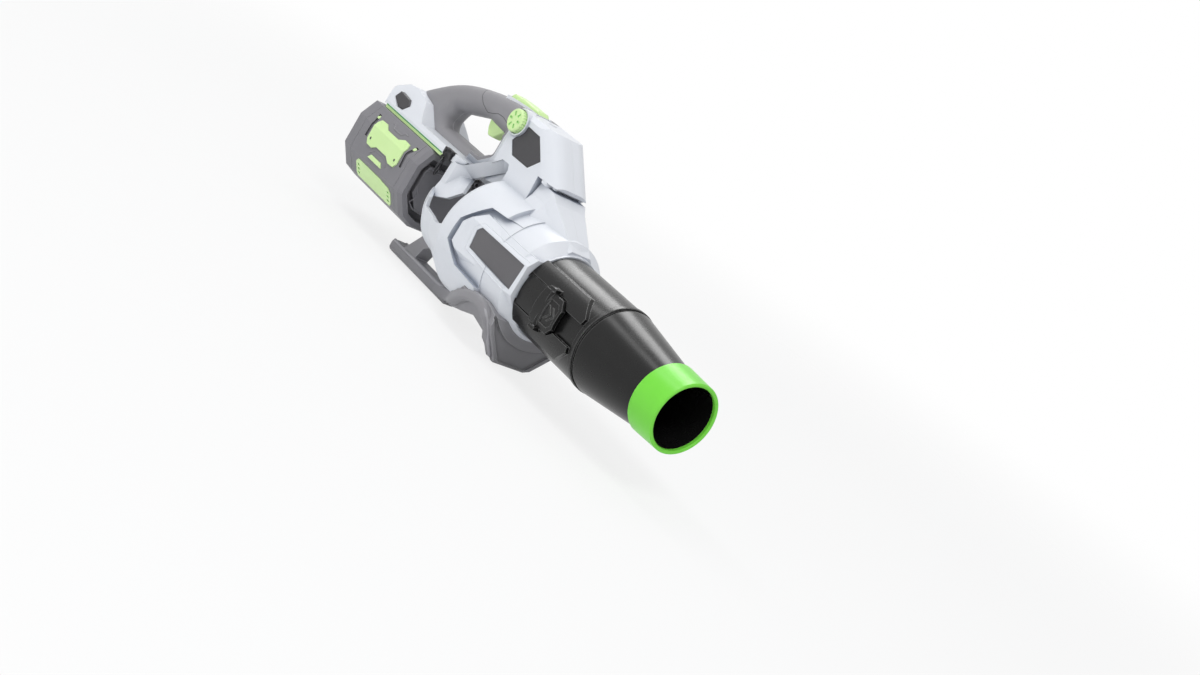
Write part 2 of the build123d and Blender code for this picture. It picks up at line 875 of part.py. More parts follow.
def boost_lever():
    x, z = lever_pivot()
    top = grip_top_z + lever_height
    outline = [
        (lever_rear_x, grip_top_z - 2.5),
        (lever_rear_x + 5, top - 1.0),
        (lever_rear_x + 30, top),
        (lever_front_x - 4, top - 0.6),
        (lever_front_x, grip_top_z + 0.5),
        (lever_front_x, z - 3.5),
        (lever_rear_x + 2, z - 3.5),
    ]
    half = lever_half_width
    solid = side_prism(outline, -half, half)
    upper = solid.edges().filter_by(lambda e: abs(abs(e.center().Y) - half) < 0.01 and e.center().Z > top - 2)
    solid = fillet(upper, 2.0)
    return solid - rod_y(-half - 1, half + 1, lever_pin_r + pin_clearance, x, z)


def lever_pin():
    x, z = lever_pivot()
    half = lever_half_width + bezel_border
    return rod_y(-half, half, lever_pin_r, x, z)


def lever_spring():
    x = lever_rear_x + 14
    z = lever_pivot()[1] - 3.5
    low = bezel_bottom_z - 6 + 0.2
    return rod_z(low, z - 0.2, 3.0, x, 0) - rod_z(low - 1, z + 1, 2.2, x, 0)


def grip():
    grey = handle_blank() & grip_region()
    grey = grey - trigger_pocket() - trigger_switch(seat_gap) - lever_pocket() - dial_bezel_boss()
    half = trigger_half_width + 5 + seat_gap
    return grey - rod_y(-half, half, trigger_pin_r + seat_gap / 2, trigger_pivot_x, trigger_pivot_z)


def speed_dial():
    face = -post_half_width - 0.4
    body = rod_y(face - dial_thickness, face + 2.2, dial_r, dial_x, dial_z)
    rim = body.edges().filter_by(lambda e: e.center().Y < face - dial_thickness + 0.01)
    body = chamfer(rim, 1.4)
    for i in range(dial_teeth):
        angle = 2 * pi * i / dial_teeth
        x = dial_x + (dial_r + 0.5) * cos(angle)
        z = dial_z + (dial_r + 0.5) * sin(angle)
        body = body - rod_y(face - dial_thickness - 1, face - 1.0, 1.1, x, z)
    for i in range(6):
        turn = Pos(dial_x, face - dial_thickness, dial_z) * Rot(0, 60 * i, 0)
        body = body - turn * Pos(dial_r * 0.55, 0, 0) * Box(5.4, 2.4, 2.6)
    return body + rod_y(face + 2.0, -post_half_width + shell_wall + 11, dial_shaft_r, dial_x, dial_z)


def dial_potentiometer():
    inner = -post_half_width + shell_wall + seat_gap
    body = rod_y(inner, inner + 12, dial_r / 2, dial_x, dial_z)
    return body - rod_y(inner - 1, inner + 13, dial_shaft_r + pin_clearance, dial_x, dial_z)


def release_button():
    face = button_face_y
    solid = side_prism(button_outline, face, face + button_length)
    rim = solid.edges().filter_by(lambda e: e.center().Y < face + 0.01)
    return chamfer(rim, 0.8)


def release_spring():
    low = button_face_y + button_length + 0.2
    high = button_face_y + button_length + button_travel + 1.3
    return rod_y(low, high, 3.0, button_x, button_z) - rod_y(low - 1, high + 1, 2.2, button_x, button_z)


# Battery rail, terminals, strips, bracket

def battery_rail():
    solid = rail_pocket()
    half = rail_half_width
    solid = solid & block(arm_rear_x + 4, rail_front_x, -half, half, arm_bottom_z - 1, rail_top_z)
    front = battery_front_x - 6.0 + slot_gap
    neck = tongue_neck_half + slot_gap
    head = tongue_head_half + slot_gap
    low = battery_top_z + tongue_neck_height - slot_gap
    high = battery_top_z + tongue_neck_height + tongue_head_height + slot_gap
    solid = solid - block(arm_rear_x - 5, front, -neck, neck, arm_bottom_z - 2, high)
    solid = solid - block(arm_rear_x - 5, front, -head, head, low, high)
    return solid - terminal_body(seat_gap)


def terminal_body(gap=0.0):
    x = battery_front_x - 5.4
    low = battery_top_z + 1.0
    top = battery_top_z + tongue_neck_height + tongue_head_height + slot_gap
    half = tongue_neck_half + slot_gap
    return block(x - gap, x + 11 + gap, -half - gap, half + gap, low - gap, top + gap)


blade_spots = [-7.0, 0.0, 7.0]
blade_half_thickness = 0.6


def blades(grow=0.0, length=14.0):
    x = battery_front_x - 5.4
    low = battery_top_z + 3.0
    top = low + 6.0
    half = blade_half_thickness + grow
    return [block(x - length, x, y - half, y + half, low - grow, top + grow) for y in blade_spots]


def terminal_block():
    return terminal_body() + blades()


def rail_strips():
    outer = arm_half_width - 0.6
    strip = block(arm_rear_x + 14, rail_front_x - 1, -outer, -outer + 7, battery_top_z + 0.4, arm_bottom_z)
    return [strip, mirror(strip, about=Plane.XZ)]


eye_spot = (bracket_x + 3.0, -arm_half_width - bracket_thickness - 4.0, arm_bottom_z - 2.0)
eye_way = Vector(1, -1, 0).normalized()


def bracket():
    x0 = bracket_x - bracket_length / 2
    x1 = bracket_x + bracket_length / 2
    y0 = -arm_half_width - bracket_thickness
    low = arm_bottom_z + 0.5
    top = low + bracket_height
    plate = side_prism([(x0, low + 1), (x0, top), (x1 - 2, top), (x1, top - 2), (x1, low), (x0 + 3, low)],
                       y0, y0 + 7)
    # The ring's eye stands out from the plate at forty-five degrees.
    tab = Plane(origin=eye_spot, x_dir=(0, 0, 1), z_dir=eye_way)
    eye = extrude(tab * Circle(eye_r + 2.4), amount=bracket_thickness / 2, both=True)
    arm_side = [(-4.5, -2), (0.5, 4.9), (4, 3), (11, -4.5), (11, -8.5), (2.5, -8.5)]
    neck = tab * make_face(Polyline(*arm_side, close=True))
    eye = eye + extrude(neck, amount=bracket_thickness / 2, both=True)
    hole = extrude(tab * Circle(eye_r), amount=bracket_thickness, both=True)
    return plate + eye - hole - arm() - bracket_screws(seat_gap)


def bracket_screws(gap=0.0):
    y1 = -arm_half_width - bracket_thickness
    z = arm_bottom_z + 6
    spots = [(bracket_x - 6.5, z), (bracket_x + 1.0, z)]
    group = []
    for x, z in spots:
        head = rod_y(y1 - 1.0 - gap, y1 + 0.8 + gap, 1.7 + gap, x, z)
        group.append(head + rod_y(y1, -arm_half_width + 8 + gap, 1.0 + gap, x, z))
    return group


def strap_ring():
    spot = Vector(*eye_spot)
    centre = spot - Vector(0, 0, ring_r)
    across = Vector(1, 1, 0).normalized()
    plane = Plane(origin=centre, x_dir=eye_way, z_dir=across)
    return plane * Torus(ring_r, ring_wire_r)


# Fan, motor and guard

def fan_duct_r():
    return bore_r - seat_gap - duct_wall


def blade_face(r, chord, thickness, pitch):
    plane = Plane(origin=(fan_rear_x + fan_length / 2, 0, r), x_dir=(1, 0, 0), z_dir=(0, 0, 1))
    return plane * Rot(0, 0, pitch) * Rectangle(chord, thickness)


def fan_rotor():
    tip = fan_duct_r() - fan_tip_gap
    hub = turned([
        (fan_rear_x - 4, shaft_r + seat_gap / 2),
        (fan_rear_x - 4, fan_hub_r - 9),
        (fan_rear_x + 6, fan_hub_r),
        (fan_rear_x + fan_length, fan_hub_r),
        (fan_rear_x + fan_length, fan_hub_r - 3),
        (fan_rear_x + 10, fan_hub_r - 6),
        (fan_rear_x + 10, shaft_r + 4),
        (fan_rear_x + fan_length - 1, shaft_r + 4),
        (fan_rear_x + fan_length - 1, shaft_r + seat_gap / 2),
    ])
    blade = loft([
        blade_face(fan_hub_r - 2.5, 24, 2.6, 42),
        blade_face((fan_hub_r + tip) / 2, 26, 2.2, 55),
        blade_face(tip + 1.5, 28, 1.8, 63),
    ])
    blade = blade & rod_x(fan_rear_x - 10, fan_rear_x + fan_length + 10, tip)
    return hub + [Rot(360 * i / fan_blades, 0, 0) * blade for i in range(fan_blades)]


def motor_shaft():
    return rod_x(fan_rear_x - 12, motor_rear_x + motor_length + 1, shaft_r)


def fan_nut():
    x = fan_rear_x - 4
    profile = Plane(origin=(x - 6, 0, 0), z_dir=(1, 0, 0)) * RegularPolygon(8.0, 6)
    nut = extrude(profile, amount=6, dir=(1, 0, 0))
    return nut - rod_x(x - 7, x + 1, shaft_r + seat_gap / 2)


def rotor_magnet():
    x0 = motor_rear_x + bearing_width + 4
    x1 = motor_rear_x + motor_length - bearing_width - 4
    return tube(x0, x1, shaft_r + seat_gap / 2, 11.0)


def motor_can():
    x0 = motor_rear_x
    x1 = motor_rear_x + motor_length
    inner = motor_r - 2.5
    seat = bearing_r + seat_gap / 2
    return turned([
        (x0, seat), (x0, motor_r), (x1, motor_r), (x1, seat),
        (x1 - bearing_width, seat), (x1 - bearing_width, inner),
        (x0 + bearing_width, inner), (x0 + bearing_width, seat),
    ])


def motor_stator():
    x0 = motor_rear_x + bearing_width + 3
    x1 = motor_rear_x + motor_length - bearing_width - 3
    return tube(x0, x1, 11.8, motor_r - 2.5 - seat_gap)


def bearing(x):
    return tube(x, x + bearing_width, shaft_r + pin_clearance, bearing_r)


def tail_cone():
    x = motor_rear_x + motor_length
    body = turned([
        (x + seat_gap, motor_r - 4), (x + seat_gap, motor_r), (x + 4, motor_r),
        (x + tail_length * 0.55, motor_r * 0.72), (x + tail_length, 5.0), (x + tail_length, 0),
        (x + tail_length - 4, 0), (x + 8, motor_r - 8),
    ])
    return body


def fan_duct():
    inner = fan_duct_r()
    outer = bore_r - seat_gap
    x0 = drum_rear_x + 5
    x1 = fan_duct_front_x - seat_gap
    shell = tube(x0, x1, inner, outer)
    sleeve = tube(motor_rear_x + 2, motor_rear_x + motor_length - 6, motor_r + seat_gap, motor_r + 2.6)
    vane = Pos((motor_rear_x + x1) / 2 + 2, 0, (motor_r + inner) / 2 + 1) * Rot(0, 0, 14)
    vane = vane * Box(17, 2.0, inner - motor_r + 0.6)
    vane = vane & tube(x0, x1, motor_r + 1.5, outer - 0.5)
    return shell + sleeve + [Rot(360 * i / stator_vanes, 0, 0) * vane for i in range(stator_vanes)]


def intake_guard():
    x1 = drum_rear_x - 4
    x0 = x1 - guard_bar
    rim_r = along_x(x0, cage_bore) - seat_gap
    guard = tube(x0, x1, rim_r - 4, rim_r)
    for share in (0.36, 0.58, 0.80):
        guard = guard + tube(x0, x1, rim_r * share - guard_bar / 2, rim_r * share + guard_bar / 2)
    spoke = block(x0, x1, -guard_bar / 2, guard_bar / 2, rim_r * 0.36, rim_r - 2)
    return guard + [Rot(360 * i / guard_spokes, 0, 0) * spoke for i in range(guard_spokes)]


def controller_board():
    x0 = loop_front_x + 22
    x1 = lip_x - lip_depth - 26
    board = block(x0, x1, 6, 7.6, handle_base_z + 16.5, post_top_z - 18.5)
    return board + block(x0 + 14, x0 + 34, 7.6, 15, lip_z + 8, lip_z + 24)


# Stand

def stand_outline():
    ground = -axis_height
    top = ground + bar_height
    return [
        (bar_rear_x, ground + 4),
        (bar_rear_x, top - 3),
        (bar_rear_x + 4, top + 1),
        (cage_rear_x - strut_reach - 8, top + 1),
        (cage_rear_x - strut_reach, top + 7),
        (cage_rear_x - 13, -cage_rear_r + 2),
        (cage_rear_x + 9, -cage_rear_r + 2),
        (cage_rear_x + 9, -cage_rear_r - 8),
        (cage_rear_x - 4, -cage_lip_r - 6),
        (cage_rear_x - 10, top + 6),
        (cage_rear_x - 4, top),
        (bar_front_x - 8, top),
        (bar_front_x + 10, -drum_r + 5),
        (pod_rear_x, -drum_r + 3),
        (pod_rear_x + 10, -drum_r - 2),
        (pod_rear_x - 8, -drum_r - stand_skin),
        (bar_front_x + 26, ground + 5),
        (bar_front_x + 18, ground),
        (bar_rear_x + 4, ground),
    ]


def saddle_section():
    ground = -axis_height
    right = [
        (-foot_half_width, ground),
        (-saddle_mid_half + 6, saddle_mid_z - 9),
        (-saddle_mid_half, saddle_mid_z - 2),
        (-saddle_mid_half - 7, saddle_mid_z + 6),
        (-saddle_top_half + 4, saddle_top_z - 9),
        (-saddle_top_half, saddle_top_z),
        (-saddle_top_half + 4, saddle_top_z + 4),
    ]
    return right + [(-y, z) for y, z in reversed(right)]


def foot_hollow():
    # The foot's front face is sunk inside a rim.
    inset = grown(saddle_section(), -foot_rim - 2)
    cut = cross_prism(inset, foot_front_x - foot_recess, foot_front_x + 1)
    return cut - rod_x(foot_front_x - foot_recess - 1, foot_front_x + 2, duct_front_r + foot_rim)


def saddle():
    ground = -axis_height
    rear = foot_front_x - foot_depth
    trim = [
        (pod_rear_x - 31, -drum_r + 1),
        (pod_rear_x + 2, -drum_r + 11),
        (pod_rear_x + 40, saddle_top_z - 12),
        (pod_rear_x + 52, saddle_top_z - 2),
        (pod_rear_x + 62, saddle_top_z),
        (foot_front_x - 20, saddle_top_z),
        (foot_front_x, saddle_top_z - 8),
        (foot_front_x, ground + 5),
        (foot_front_x - 5, ground),
        (foot_front_x - 10, ground),
        (rear - 3, saddle_mid_z - 9),
        (rear + 1, saddle_mid_z),
        (rear - 20, saddle_mid_z + 7),
        (pod_rear_x + 39, -drum_r + 4),
        (pod_rear_x + 14, -drum_r - stand_skin / 2),
        (pod_rear_x - 8, -drum_r - stand_skin - 0.5),
        (pod_rear_x - 24, -drum_r - 2 * stand_skin),
        (pod_rear_x - 31, -drum_r - 3 * stand_skin),
    ]
    # In plan the stand widens from its bar to the saddle that wraps round the duct.
    plan = [(pod_rear_x - 31, -stand_half_width + 1), (pod_rear_x - 8, -foot_half_width),
            (pod_rear_x + 22, -saddle_mid_half - 6), (pod_rear_x + 42, -saddle_top_half),
            (drum_front_low_x - 8, -saddle_top_half - 1), (foot_front_x, -saddle_front_half)]
    plan = plan + [(x, -y) for x, y in reversed(plan)]
    solid = cross_prism(saddle_section(), pod_rear_x - 32, foot_front_x)
    solid = solid & side_prism(trim, -saddle_top_half - 5, saddle_top_half + 5)
    return solid & plan_prism(plan, ground - 1, 0)


def stand():
    body = side_prism(stand_outline(), -stand_half_width, stand_half_width)
    long_edges = body.edges().filter_by(
        lambda e: abs(abs(e.center().Y) - stand_half_width) < 0.01 and e.length > 40
        and e.center().Z < -axis_height + bar_height + 1)
    body = chamfer(long_edges, bar_round)
    solid = body + saddle() - [drum_and_duct(seat_gap), cage_keep_out()]
    return solid - foot_hollow() - stand_bolt_holes()


def cage_keep_out():
    return turned([(cage_rear_x - 8, 0), (cage_rear_x - 8, cage_rear_r - cage_wall + 2),
                   (cage_rear_x - 0.2, cage_rear_r - cage_wall + 2), (cage_rear_x - 0.2, 0)])


def stand_screw(x, y_way, gap=0.0):
    # Screws rise from under the saddle into the duct wall, leaning towards the axis.
    tilt = Rot(-y_way * 32, 0, 0)
    wall = along_x(x, duct_line)
    shank = rod_z(-wall - 9 - gap, -wall + shell_wall - 1 + gap, screw_r + gap, x, 0)
    head = rod_z(-wall - 9 - screw_head_height - gap, -wall - 9 + gap, screw_head_r + gap, x, 0)
    return tilt * (shank + head)


stand_screw_spots = [(x, way) for x in (-46.0, -24.0) for way in (-1, 1)]


def stand_screws():
    return [stand_screw(x, way) for x, way in stand_screw_spots]


def stand_bolt_holes():
    holes = []
    for x, way in stand_screw_spots:
        holes.append(stand_screw(x, way, seat_gap))
        wall = along_x(x, duct_line)
        mouth = rod_z(-wall - 40, -wall - 10, screw_head_r + seat_gap, x, 0)
        holes.append(Rot(-way * 32, 0, 0) * mouth)
    return holes


# Battery

def battery_section(grow=0.0):
    half = [
        (battery_top_half + grow * 0.6, battery_top_z + grow),
        (battery_half_width + grow, battery_shoulder_z + grow * 0.4),
        (battery_half_width + grow, battery_knee_z - grow * 0.3),
        (battery_low_half + grow * 0.8, battery_low_z - grow * 0.7),
        (battery_bottom_half + grow * 0.4, battery_bottom_z - grow),
    ]
    return half + [(-y, z) for y, z in reversed(half)]


core_rear_x = battery_rear_x + rear_cap_length
core_front_x = battery_front_x - front_cap_length


def battery_tongue():
    x0 = arm_rear_x + 8
    x1 = battery_front_x - 6.0
    neck_top = battery_top_z + tongue_neck_height
    neck = block(x0, x1, -tongue_neck_half, tongue_neck_half, battery_top_z - 2, neck_top + 0.5)
    head = block(x0, x1, -tongue_head_half, tongue_head_half, neck_top, neck_top + tongue_head_height)
    return neck + head - blades(0.5, 16.0)


def battery_core():
    solid = cross_prism(battery_section(), core_rear_x + cap_seam, core_front_x - cap_seam)
    # Behind each seam the core is drawn in a little, which leaves the thin line between core and caps.
    solid = solid + cross_prism(battery_section(-1.2), core_rear_x, core_front_x)
    tongue = battery_tongue() & block(core_rear_x, core_front_x, -60, 60, 0, 100)
    solid = solid + tongue
    for side in (1, -1):
        solid = solid - insert_plate(side, seat_gap, 5.0) - grille_plate(side, seat_gap, 5.0)
        solid = solid - side_bar(side, seat_gap, 5.0)
        solid = solid - on_side(slit(-1), side) - on_side(slit(1), side)
    return solid


def battery_rear_cap():
    body = loft([
        cross_face(battery_rear_x, battery_section(-cap_bevel)),
        cross_face(battery_rear_x + cap_bevel, battery_section()),
    ], ruled=True)
    body = body + cross_prism(battery_section(), battery_rear_x + cap_bevel, core_rear_x)
    tongue = battery_tongue() & block(battery_rear_x, core_rear_x, -60, 60, 0, 100)
    return body + tongue


def battery_front_cap():
    body = cross_prism(battery_section(), core_front_x, battery_front_x - cap_bevel)
    body = body + loft([
        cross_face(battery_front_x - cap_bevel, battery_section()),
        cross_face(battery_front_x, battery_section(-3.0)),
    ], ruled=True)
    recess = cross_prism(battery_section(-10.0), battery_front_x - 12, battery_front_x + 1)
    face = cross_prism(battery_section(-20.0), battery_front_x - 16, battery_front_x - 6)
    tongue = battery_tongue() & block(core_front_x, battery_front_x, -60, 60, 0, 100)
    return body - recess + face + tongue


shoulder_way = Vector(0, -1, 0.22).normalized()
lower_way = Vector(0, -(battery_knee_z - battery_low_z),
                   -(battery_half_width - battery_low_half)).normalized()


def facet_prism(points, origin, way):
    plane = Plane(origin=origin, x_dir=(1, 0, 0), z_dir=way)
    face = plane * make_face(Polyline(*points, close=True))
    return extrude(face, amount=30, both=True)


def shell_band(height, depth):
    outer = cross_prism(battery_section(height), battery_rear_x, battery_front_x)
    return outer - cross_prism(battery_section(-depth), battery_rear_x - 1, battery_front_x + 1)


def on_side(solid, side):
    return solid if side < 0 else mirror(solid, about=Plane.XZ)


insert_middle_x = (battery_rear_x + battery_front_x) / 2 + 7.0
insert_half_long = 41.0


def shoulder_prism(points, gap):
    centre = (insert_middle_x, -battery_half_width, battery_shoulder_z)
    return facet_prism(grown(points, gap), centre, shoulder_way)


def insert_outline():
    long = insert_half_long
    upper = [(-long, 6), (-long + 3, 11.5), (-long + 16, 12), (-long + 26, 6.8)]
    lower = [(-long + 27, -18.5), (-long + 17, -23.5), (-long + 5, -23), (-long, -17)]
    front_upper = [(-x, y) for x, y in reversed(upper)]
    front_lower = [(-x, y) for x, y in reversed(lower)]
    return upper + front_upper + front_lower + lower


def slit_outline(end):
    # A slanted groove beside each end of the insert.
    x = end * (insert_half_long + 10)
    outer = [(x + end * 4, 15), (x - end * 2, 15), (x - end * 7, 3)]
    return outer + [(x - end * 5, -17), (x, -17), (x - end * 1, 3)]


def slit(end, gap=0.0):
    return shoulder_prism(slit_outline(end), gap) & shell_band(5.0, insert_depth + 1.0)


def eyelet(end):
    x = end * (insert_half_long + 9)
    low = [(x - 3.0, 9.5), (x + 1.0, 9.0), (x + 3.0, 11.0)]
    outline = low + [(x + 3.0, 12.5), (x - 1.0, 13.5), (x - 3.0, 11.5)]
    return shoulder_prism(outline, 0.0) & shell_band(0.0, insert_depth + 0.9) & slit(end)


def insert_plate(side, gap=0.0, extra=0.0):
    plate = shoulder_prism(insert_outline(), gap) & shell_band(insert_height + extra, insert_depth + gap)
    return on_side(plate, side)


def insert_pieces(side):
    return [insert_plate(side), on_side(eyelet(-1), side), on_side(eyelet(1), side)]


def grille_plate(side, gap=0.0, extra=0.0):
    half_long = 49.0
    half_high = 12.5
    centre = (insert_middle_x + 1, -(battery_half_width + battery_low_half) / 2 + 1.2,
              (battery_knee_z + battery_low_z) / 2 - 1.7)
    outline = [
        (-half_long + 3, -half_high), (half_long - 3, -half_high), (half_long, -half_high + 4),
        (half_long, half_high - 7), (half_long - 7, half_high - 2), (half_long - 24, half_high - 1),
        (half_long - 28, half_high), (-half_long + 8, half_high), (-half_long, half_high - 6),
        (-half_long, -half_high + 4),
    ]
    plate = facet_prism(grown(outline, gap), centre, lower_way)
    plate = plate & shell_band(0.8 + extra, insert_depth + gap)
    if gap == 0.0:
        spots = [(sign * (half_long - 7), row) for sign in (-1, 1) for row in (-7.0, -1.5, 4.0)]
        for x, row in spots:
            hole = Plane(origin=centre, x_dir=(1, 0, 0), z_dir=lower_way)
            hole = hole * Pos(x, row) * Rectangle(5.0, 2.2)
            plate = plate - extrude(hole, amount=30, both=True)
    return on_side(plate, side)


def side_bar(side, gap=0.0, extra=0.0):
    middle = insert_middle_x - 2
    z = battery_knee_z + 8.5
    left = [(middle - 18, z - 2.7), (middle - 12.5, z + 2.7)]
    outline = left + [(middle + 12.5, z + 2.7), (middle + 18, z - 2.7)]
    bar = side_prism(grown(outline, gap), -battery_half_width - insert_height - extra,
                     -battery_half_width + insert_depth + gap)
    return on_side(bar, side)


# Nozzle

def latch_outline(gap=0.0):
    front = pad_rear_x + pad_length
    tongue_tip = 1.5
    half = pad_half_width + gap
    thin = tongue_half_width + gap
    corner = pad_corner
    upper = [
        (tongue_tip - gap, thin),
        (pad_rear_x - 2 - gap, thin),
        (pad_rear_x - 2 - gap, half),
        (front - corner, half),
        (front + gap, half - corner + gap),
    ]
    return upper + [(x, -z) for x, z in reversed(upper)]


def nozzle_tube():
    wall = nozzle_wall
    outer = [
        (fit_gap, nozzle_r),
        (barrel_length - bead_width, nozzle_r),
        (barrel_length - bead_width + bead_height, nozzle_r + bead_height),
        (barrel_length - bead_round, nozzle_r + bead_height),
        (barrel_length, nozzle_r + bead_height - bead_round),
        (barrel_length, nozzle_r + bead_height - groove_depth),
        (barrel_length + groove_width, nozzle_r + bead_height - groove_depth),
        (barrel_length + groove_width, cone_start_r - bead_round),
        (barrel_length + groove_width + bead_round, cone_start_r),
        (tip_x, cone_end_r),
        (tip_x, tip_seat_r),
        (nozzle_length - tip_lip, tip_seat_r),
    ]
    inner = [
        (nozzle_length - tip_lip, outlet_r + 0.5),
        (tip_x, outlet_r + 0.5),
        (barrel_length - inner_taper, nozzle_r - wall),
        (fit_gap, nozzle_r - wall),
    ]
    solid = turned(outer + inner)
    band = tube(fit_gap, rail_length + rail_nose, nozzle_r - wall / 2, rail_r)
    nose = rail_length + rail_nose
    right = [(fit_gap, rail_inner), (nose, rail_inner), (nose, rail_inner + 7),
             (rail_length, rail_outer), (fit_gap, rail_outer)]
    lower = [(x, -z) for x, z in right]
    rails = band & (side_prism(right, -rail_r - 1, -20) + side_prism(lower, -rail_r - 1, -20))
    x0 = latch_pivot_x - ear_length / 2
    x1 = latch_pivot_x + ear_length / 2
    low = pad_half_width + 0.9
    ear = block(x0, x1, latch_y() - 3.2, latch_y() + 6, low, low + ear_thickness)
    ears = ear + mirror(ear, about=Plane.XY)
    keep = side_prism(latch_outline(0.9), -rail_r - 20, -20) - rod_x(-1, nozzle_length, nozzle_r)
    solid = solid + rails - keep + ears
    half = low + ear_thickness + 1
    return solid - rod_z(-half, half, latch_pin_r + seat_gap / 2, latch_pivot_x, latch_y())


def latch_y():
    return -(nozzle_r + latch_lift + tongue_thickness + 1.2)


def tip_ring():
    gap = seat_gap
    c = tip_round
    return turned([
        (tip_x + gap, tip_seat_r + gap),
        (tip_x + gap, tip_rear_r - c),
        (tip_x + gap + c, tip_rear_r),
        (nozzle_length - c, tip_front_r),
        (nozzle_length, tip_front_r - c),
        (nozzle_length, outlet_r + c),
        (nozzle_length - c, outlet_r),
        (nozzle_length - tip_lip + gap, outlet_r),
        (nozzle_length - tip_lip + gap, tip_seat_r + gap),
    ])


def nozzle_latch():
    inner = nozzle_r + latch_lift
    strip = side_prism(latch_outline(), -rail_r - 20, -20)
    tongue = strip & tube(0, pad_rear_x + 4, inner, inner + tongue_thickness)
    low = inner + tongue_thickness - 0.6
    top = low + pad_thickness
    floor = top - pad_recess
    front = pad_rear_x + pad_length
    pad = strip & tube(pad_rear_x - 1, front + 2, low, top)
    # A sunk field with two raised chevrons lies in front of the pivot.
    rear = latch_pivot_x + pad_frame
    half = pad_half_width - pad_frame - 2
    cut = pad_corner - 4
    upper = [(rear, half), (front - pad_frame - cut, half), (front - pad_frame, half - cut)]
    field = side_prism(upper + [(x, -z) for x, z in reversed(upper)], -rail_r - 20, -20)
    pad = pad - (field & tube(rear, front, floor, top + 2))
    for x in (rear + 10, rear + 17):
        arms = [(x, 0), (x - chevron_half, chevron_half), (x - chevron_half + chevron_width, chevron_half),
                (x + chevron_width, 0), (x - chevron_half + chevron_width, -chevron_half),
                (x - chevron_half, -chevron_half)]
        mark = side_prism(arms, -rail_r - 20, -20)
        pad = pad + (mark & tube(rear, front, floor - 0.5, floor + chevron_height))
    reach = pad_half_width + 1
    boss = rod_z(-pad_half_width, pad_half_width, latch_pin_r + 1.4, latch_pivot_x, latch_y())
    solid = pad + tongue + boss
    return solid - rod_z(-reach, reach, latch_pin_r + pin_clearance, latch_pivot_x, latch_y())


def latch_pin():
    half = pad_half_width + 0.9 + ear_thickness
    return rod_z(-half, half, latch_pin_r, latch_pivot_x, latch_y())


def latch_spring():
    x = pad_rear_x + pad_length - 7
    low = nozzle_r + 0.2
    high = nozzle_r + latch_lift + tongue_thickness - 0.9
    return rod_y(-high, -low, 3.0, x, 0) - rod_y(-high - 1, -low + 1, 2.2, x, 0)


# Every piece under its own name

def pieces():
    shell = housing()
    handle = grip()
    panel = side_panel()
    badge = post_badge()
    yield "housing_right", right_half(shell)
    yield "housing_left", left_half(shell)
    yield "grip_right", right_half(handle)
    yield "grip_left", left_half(handle)
    yield "stand", stand()
    yield "side_panel_right", panel
    yield "side_panel_left", mirror(panel, about=Plane.XZ)
    yield "post_plate_right", badge
    yield "post_plate_left", mirror(badge, about=Plane.XZ)
    yield "intake_guard", intake_guard()
    yield "fan_duct", fan_duct()
    yield "motor_can", motor_can()
    yield "motor_stator", motor_stator()
    yield "bearing_rear", bearing(motor_rear_x)
    yield "bearing_front", bearing(motor_rear_x + motor_length - bearing_width)
    yield "motor_tail_cone", tail_cone()
    yield "controller_board", controller_board()
    yield "battery_rail", battery_rail()
    yield "terminal_block", terminal_block()
    yield "rail_strips", rail_strips()
    yield "trigger_switch", trigger_switch()
    yield "trigger_pin", trigger_pin()
    yield "trigger_spring", trigger_spring()
    yield "lever_bezel", bezel()
    yield "lever_pin", lever_pin()
    yield "lever_spring", lever_spring()
    yield "dial_potentiometer", dial_potentiometer()
    yield "release_spring", release_spring()
    yield "strap_bracket", bracket()
    yield "bracket_screws", bracket_screws()
    yield "housing_screws", [housing_screw(x, z) for x, z in screw_spots]
    yield "stand_screws", stand_screws()
    yield "fan_rotor", fan_rotor()
    yield "motor_shaft", motor_shaft()
    yield "fan_nut", fan_nut()
    yield "rotor_magnet", rotor_magnet()
    yield "trigger", trigger()
    yield "boost_lever", boost_lever()
    yield "speed_dial", speed_dial()
    yield "release_button", release_button()
    yield "strap_ring", strap_ring()
    yield "battery_core", battery_core()
    yield "battery_rear_cap", battery_rear_cap()
    yield "battery_front_cap", battery_front_cap()
    for name, side in (("right", -1), ("left", 1)):
        yield "battery_insert_" + name, insert_pieces(side)
        yield "battery_grille_" + name, grille_plate(side)
        yield "battery_bar_" + name, side_bar(side)
    yield "nozzle_tube", nozzle_tube()
    yield "nozzle_tip_ring", tip_ring()
    yield "latch_pin", latch_pin()
    yield "latch_spring", latch_spring()
    yield "nozzle_latch", nozzle_latch()


def main():
    os.makedirs("parts", exist_ok=True)
    for name, solid in pieces():
        group = solid if isinstance(solid, list) else [solid]
        placed = Compound(children=[shift * s for g in group for s in g.solids()])
        export_step(placed, "parts/" + name + ".step")


main()
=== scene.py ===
import json
import math

import bmesh
import bpy
from mathutils import Matrix, Vector
from mathutils.bvhtree import BVHTree


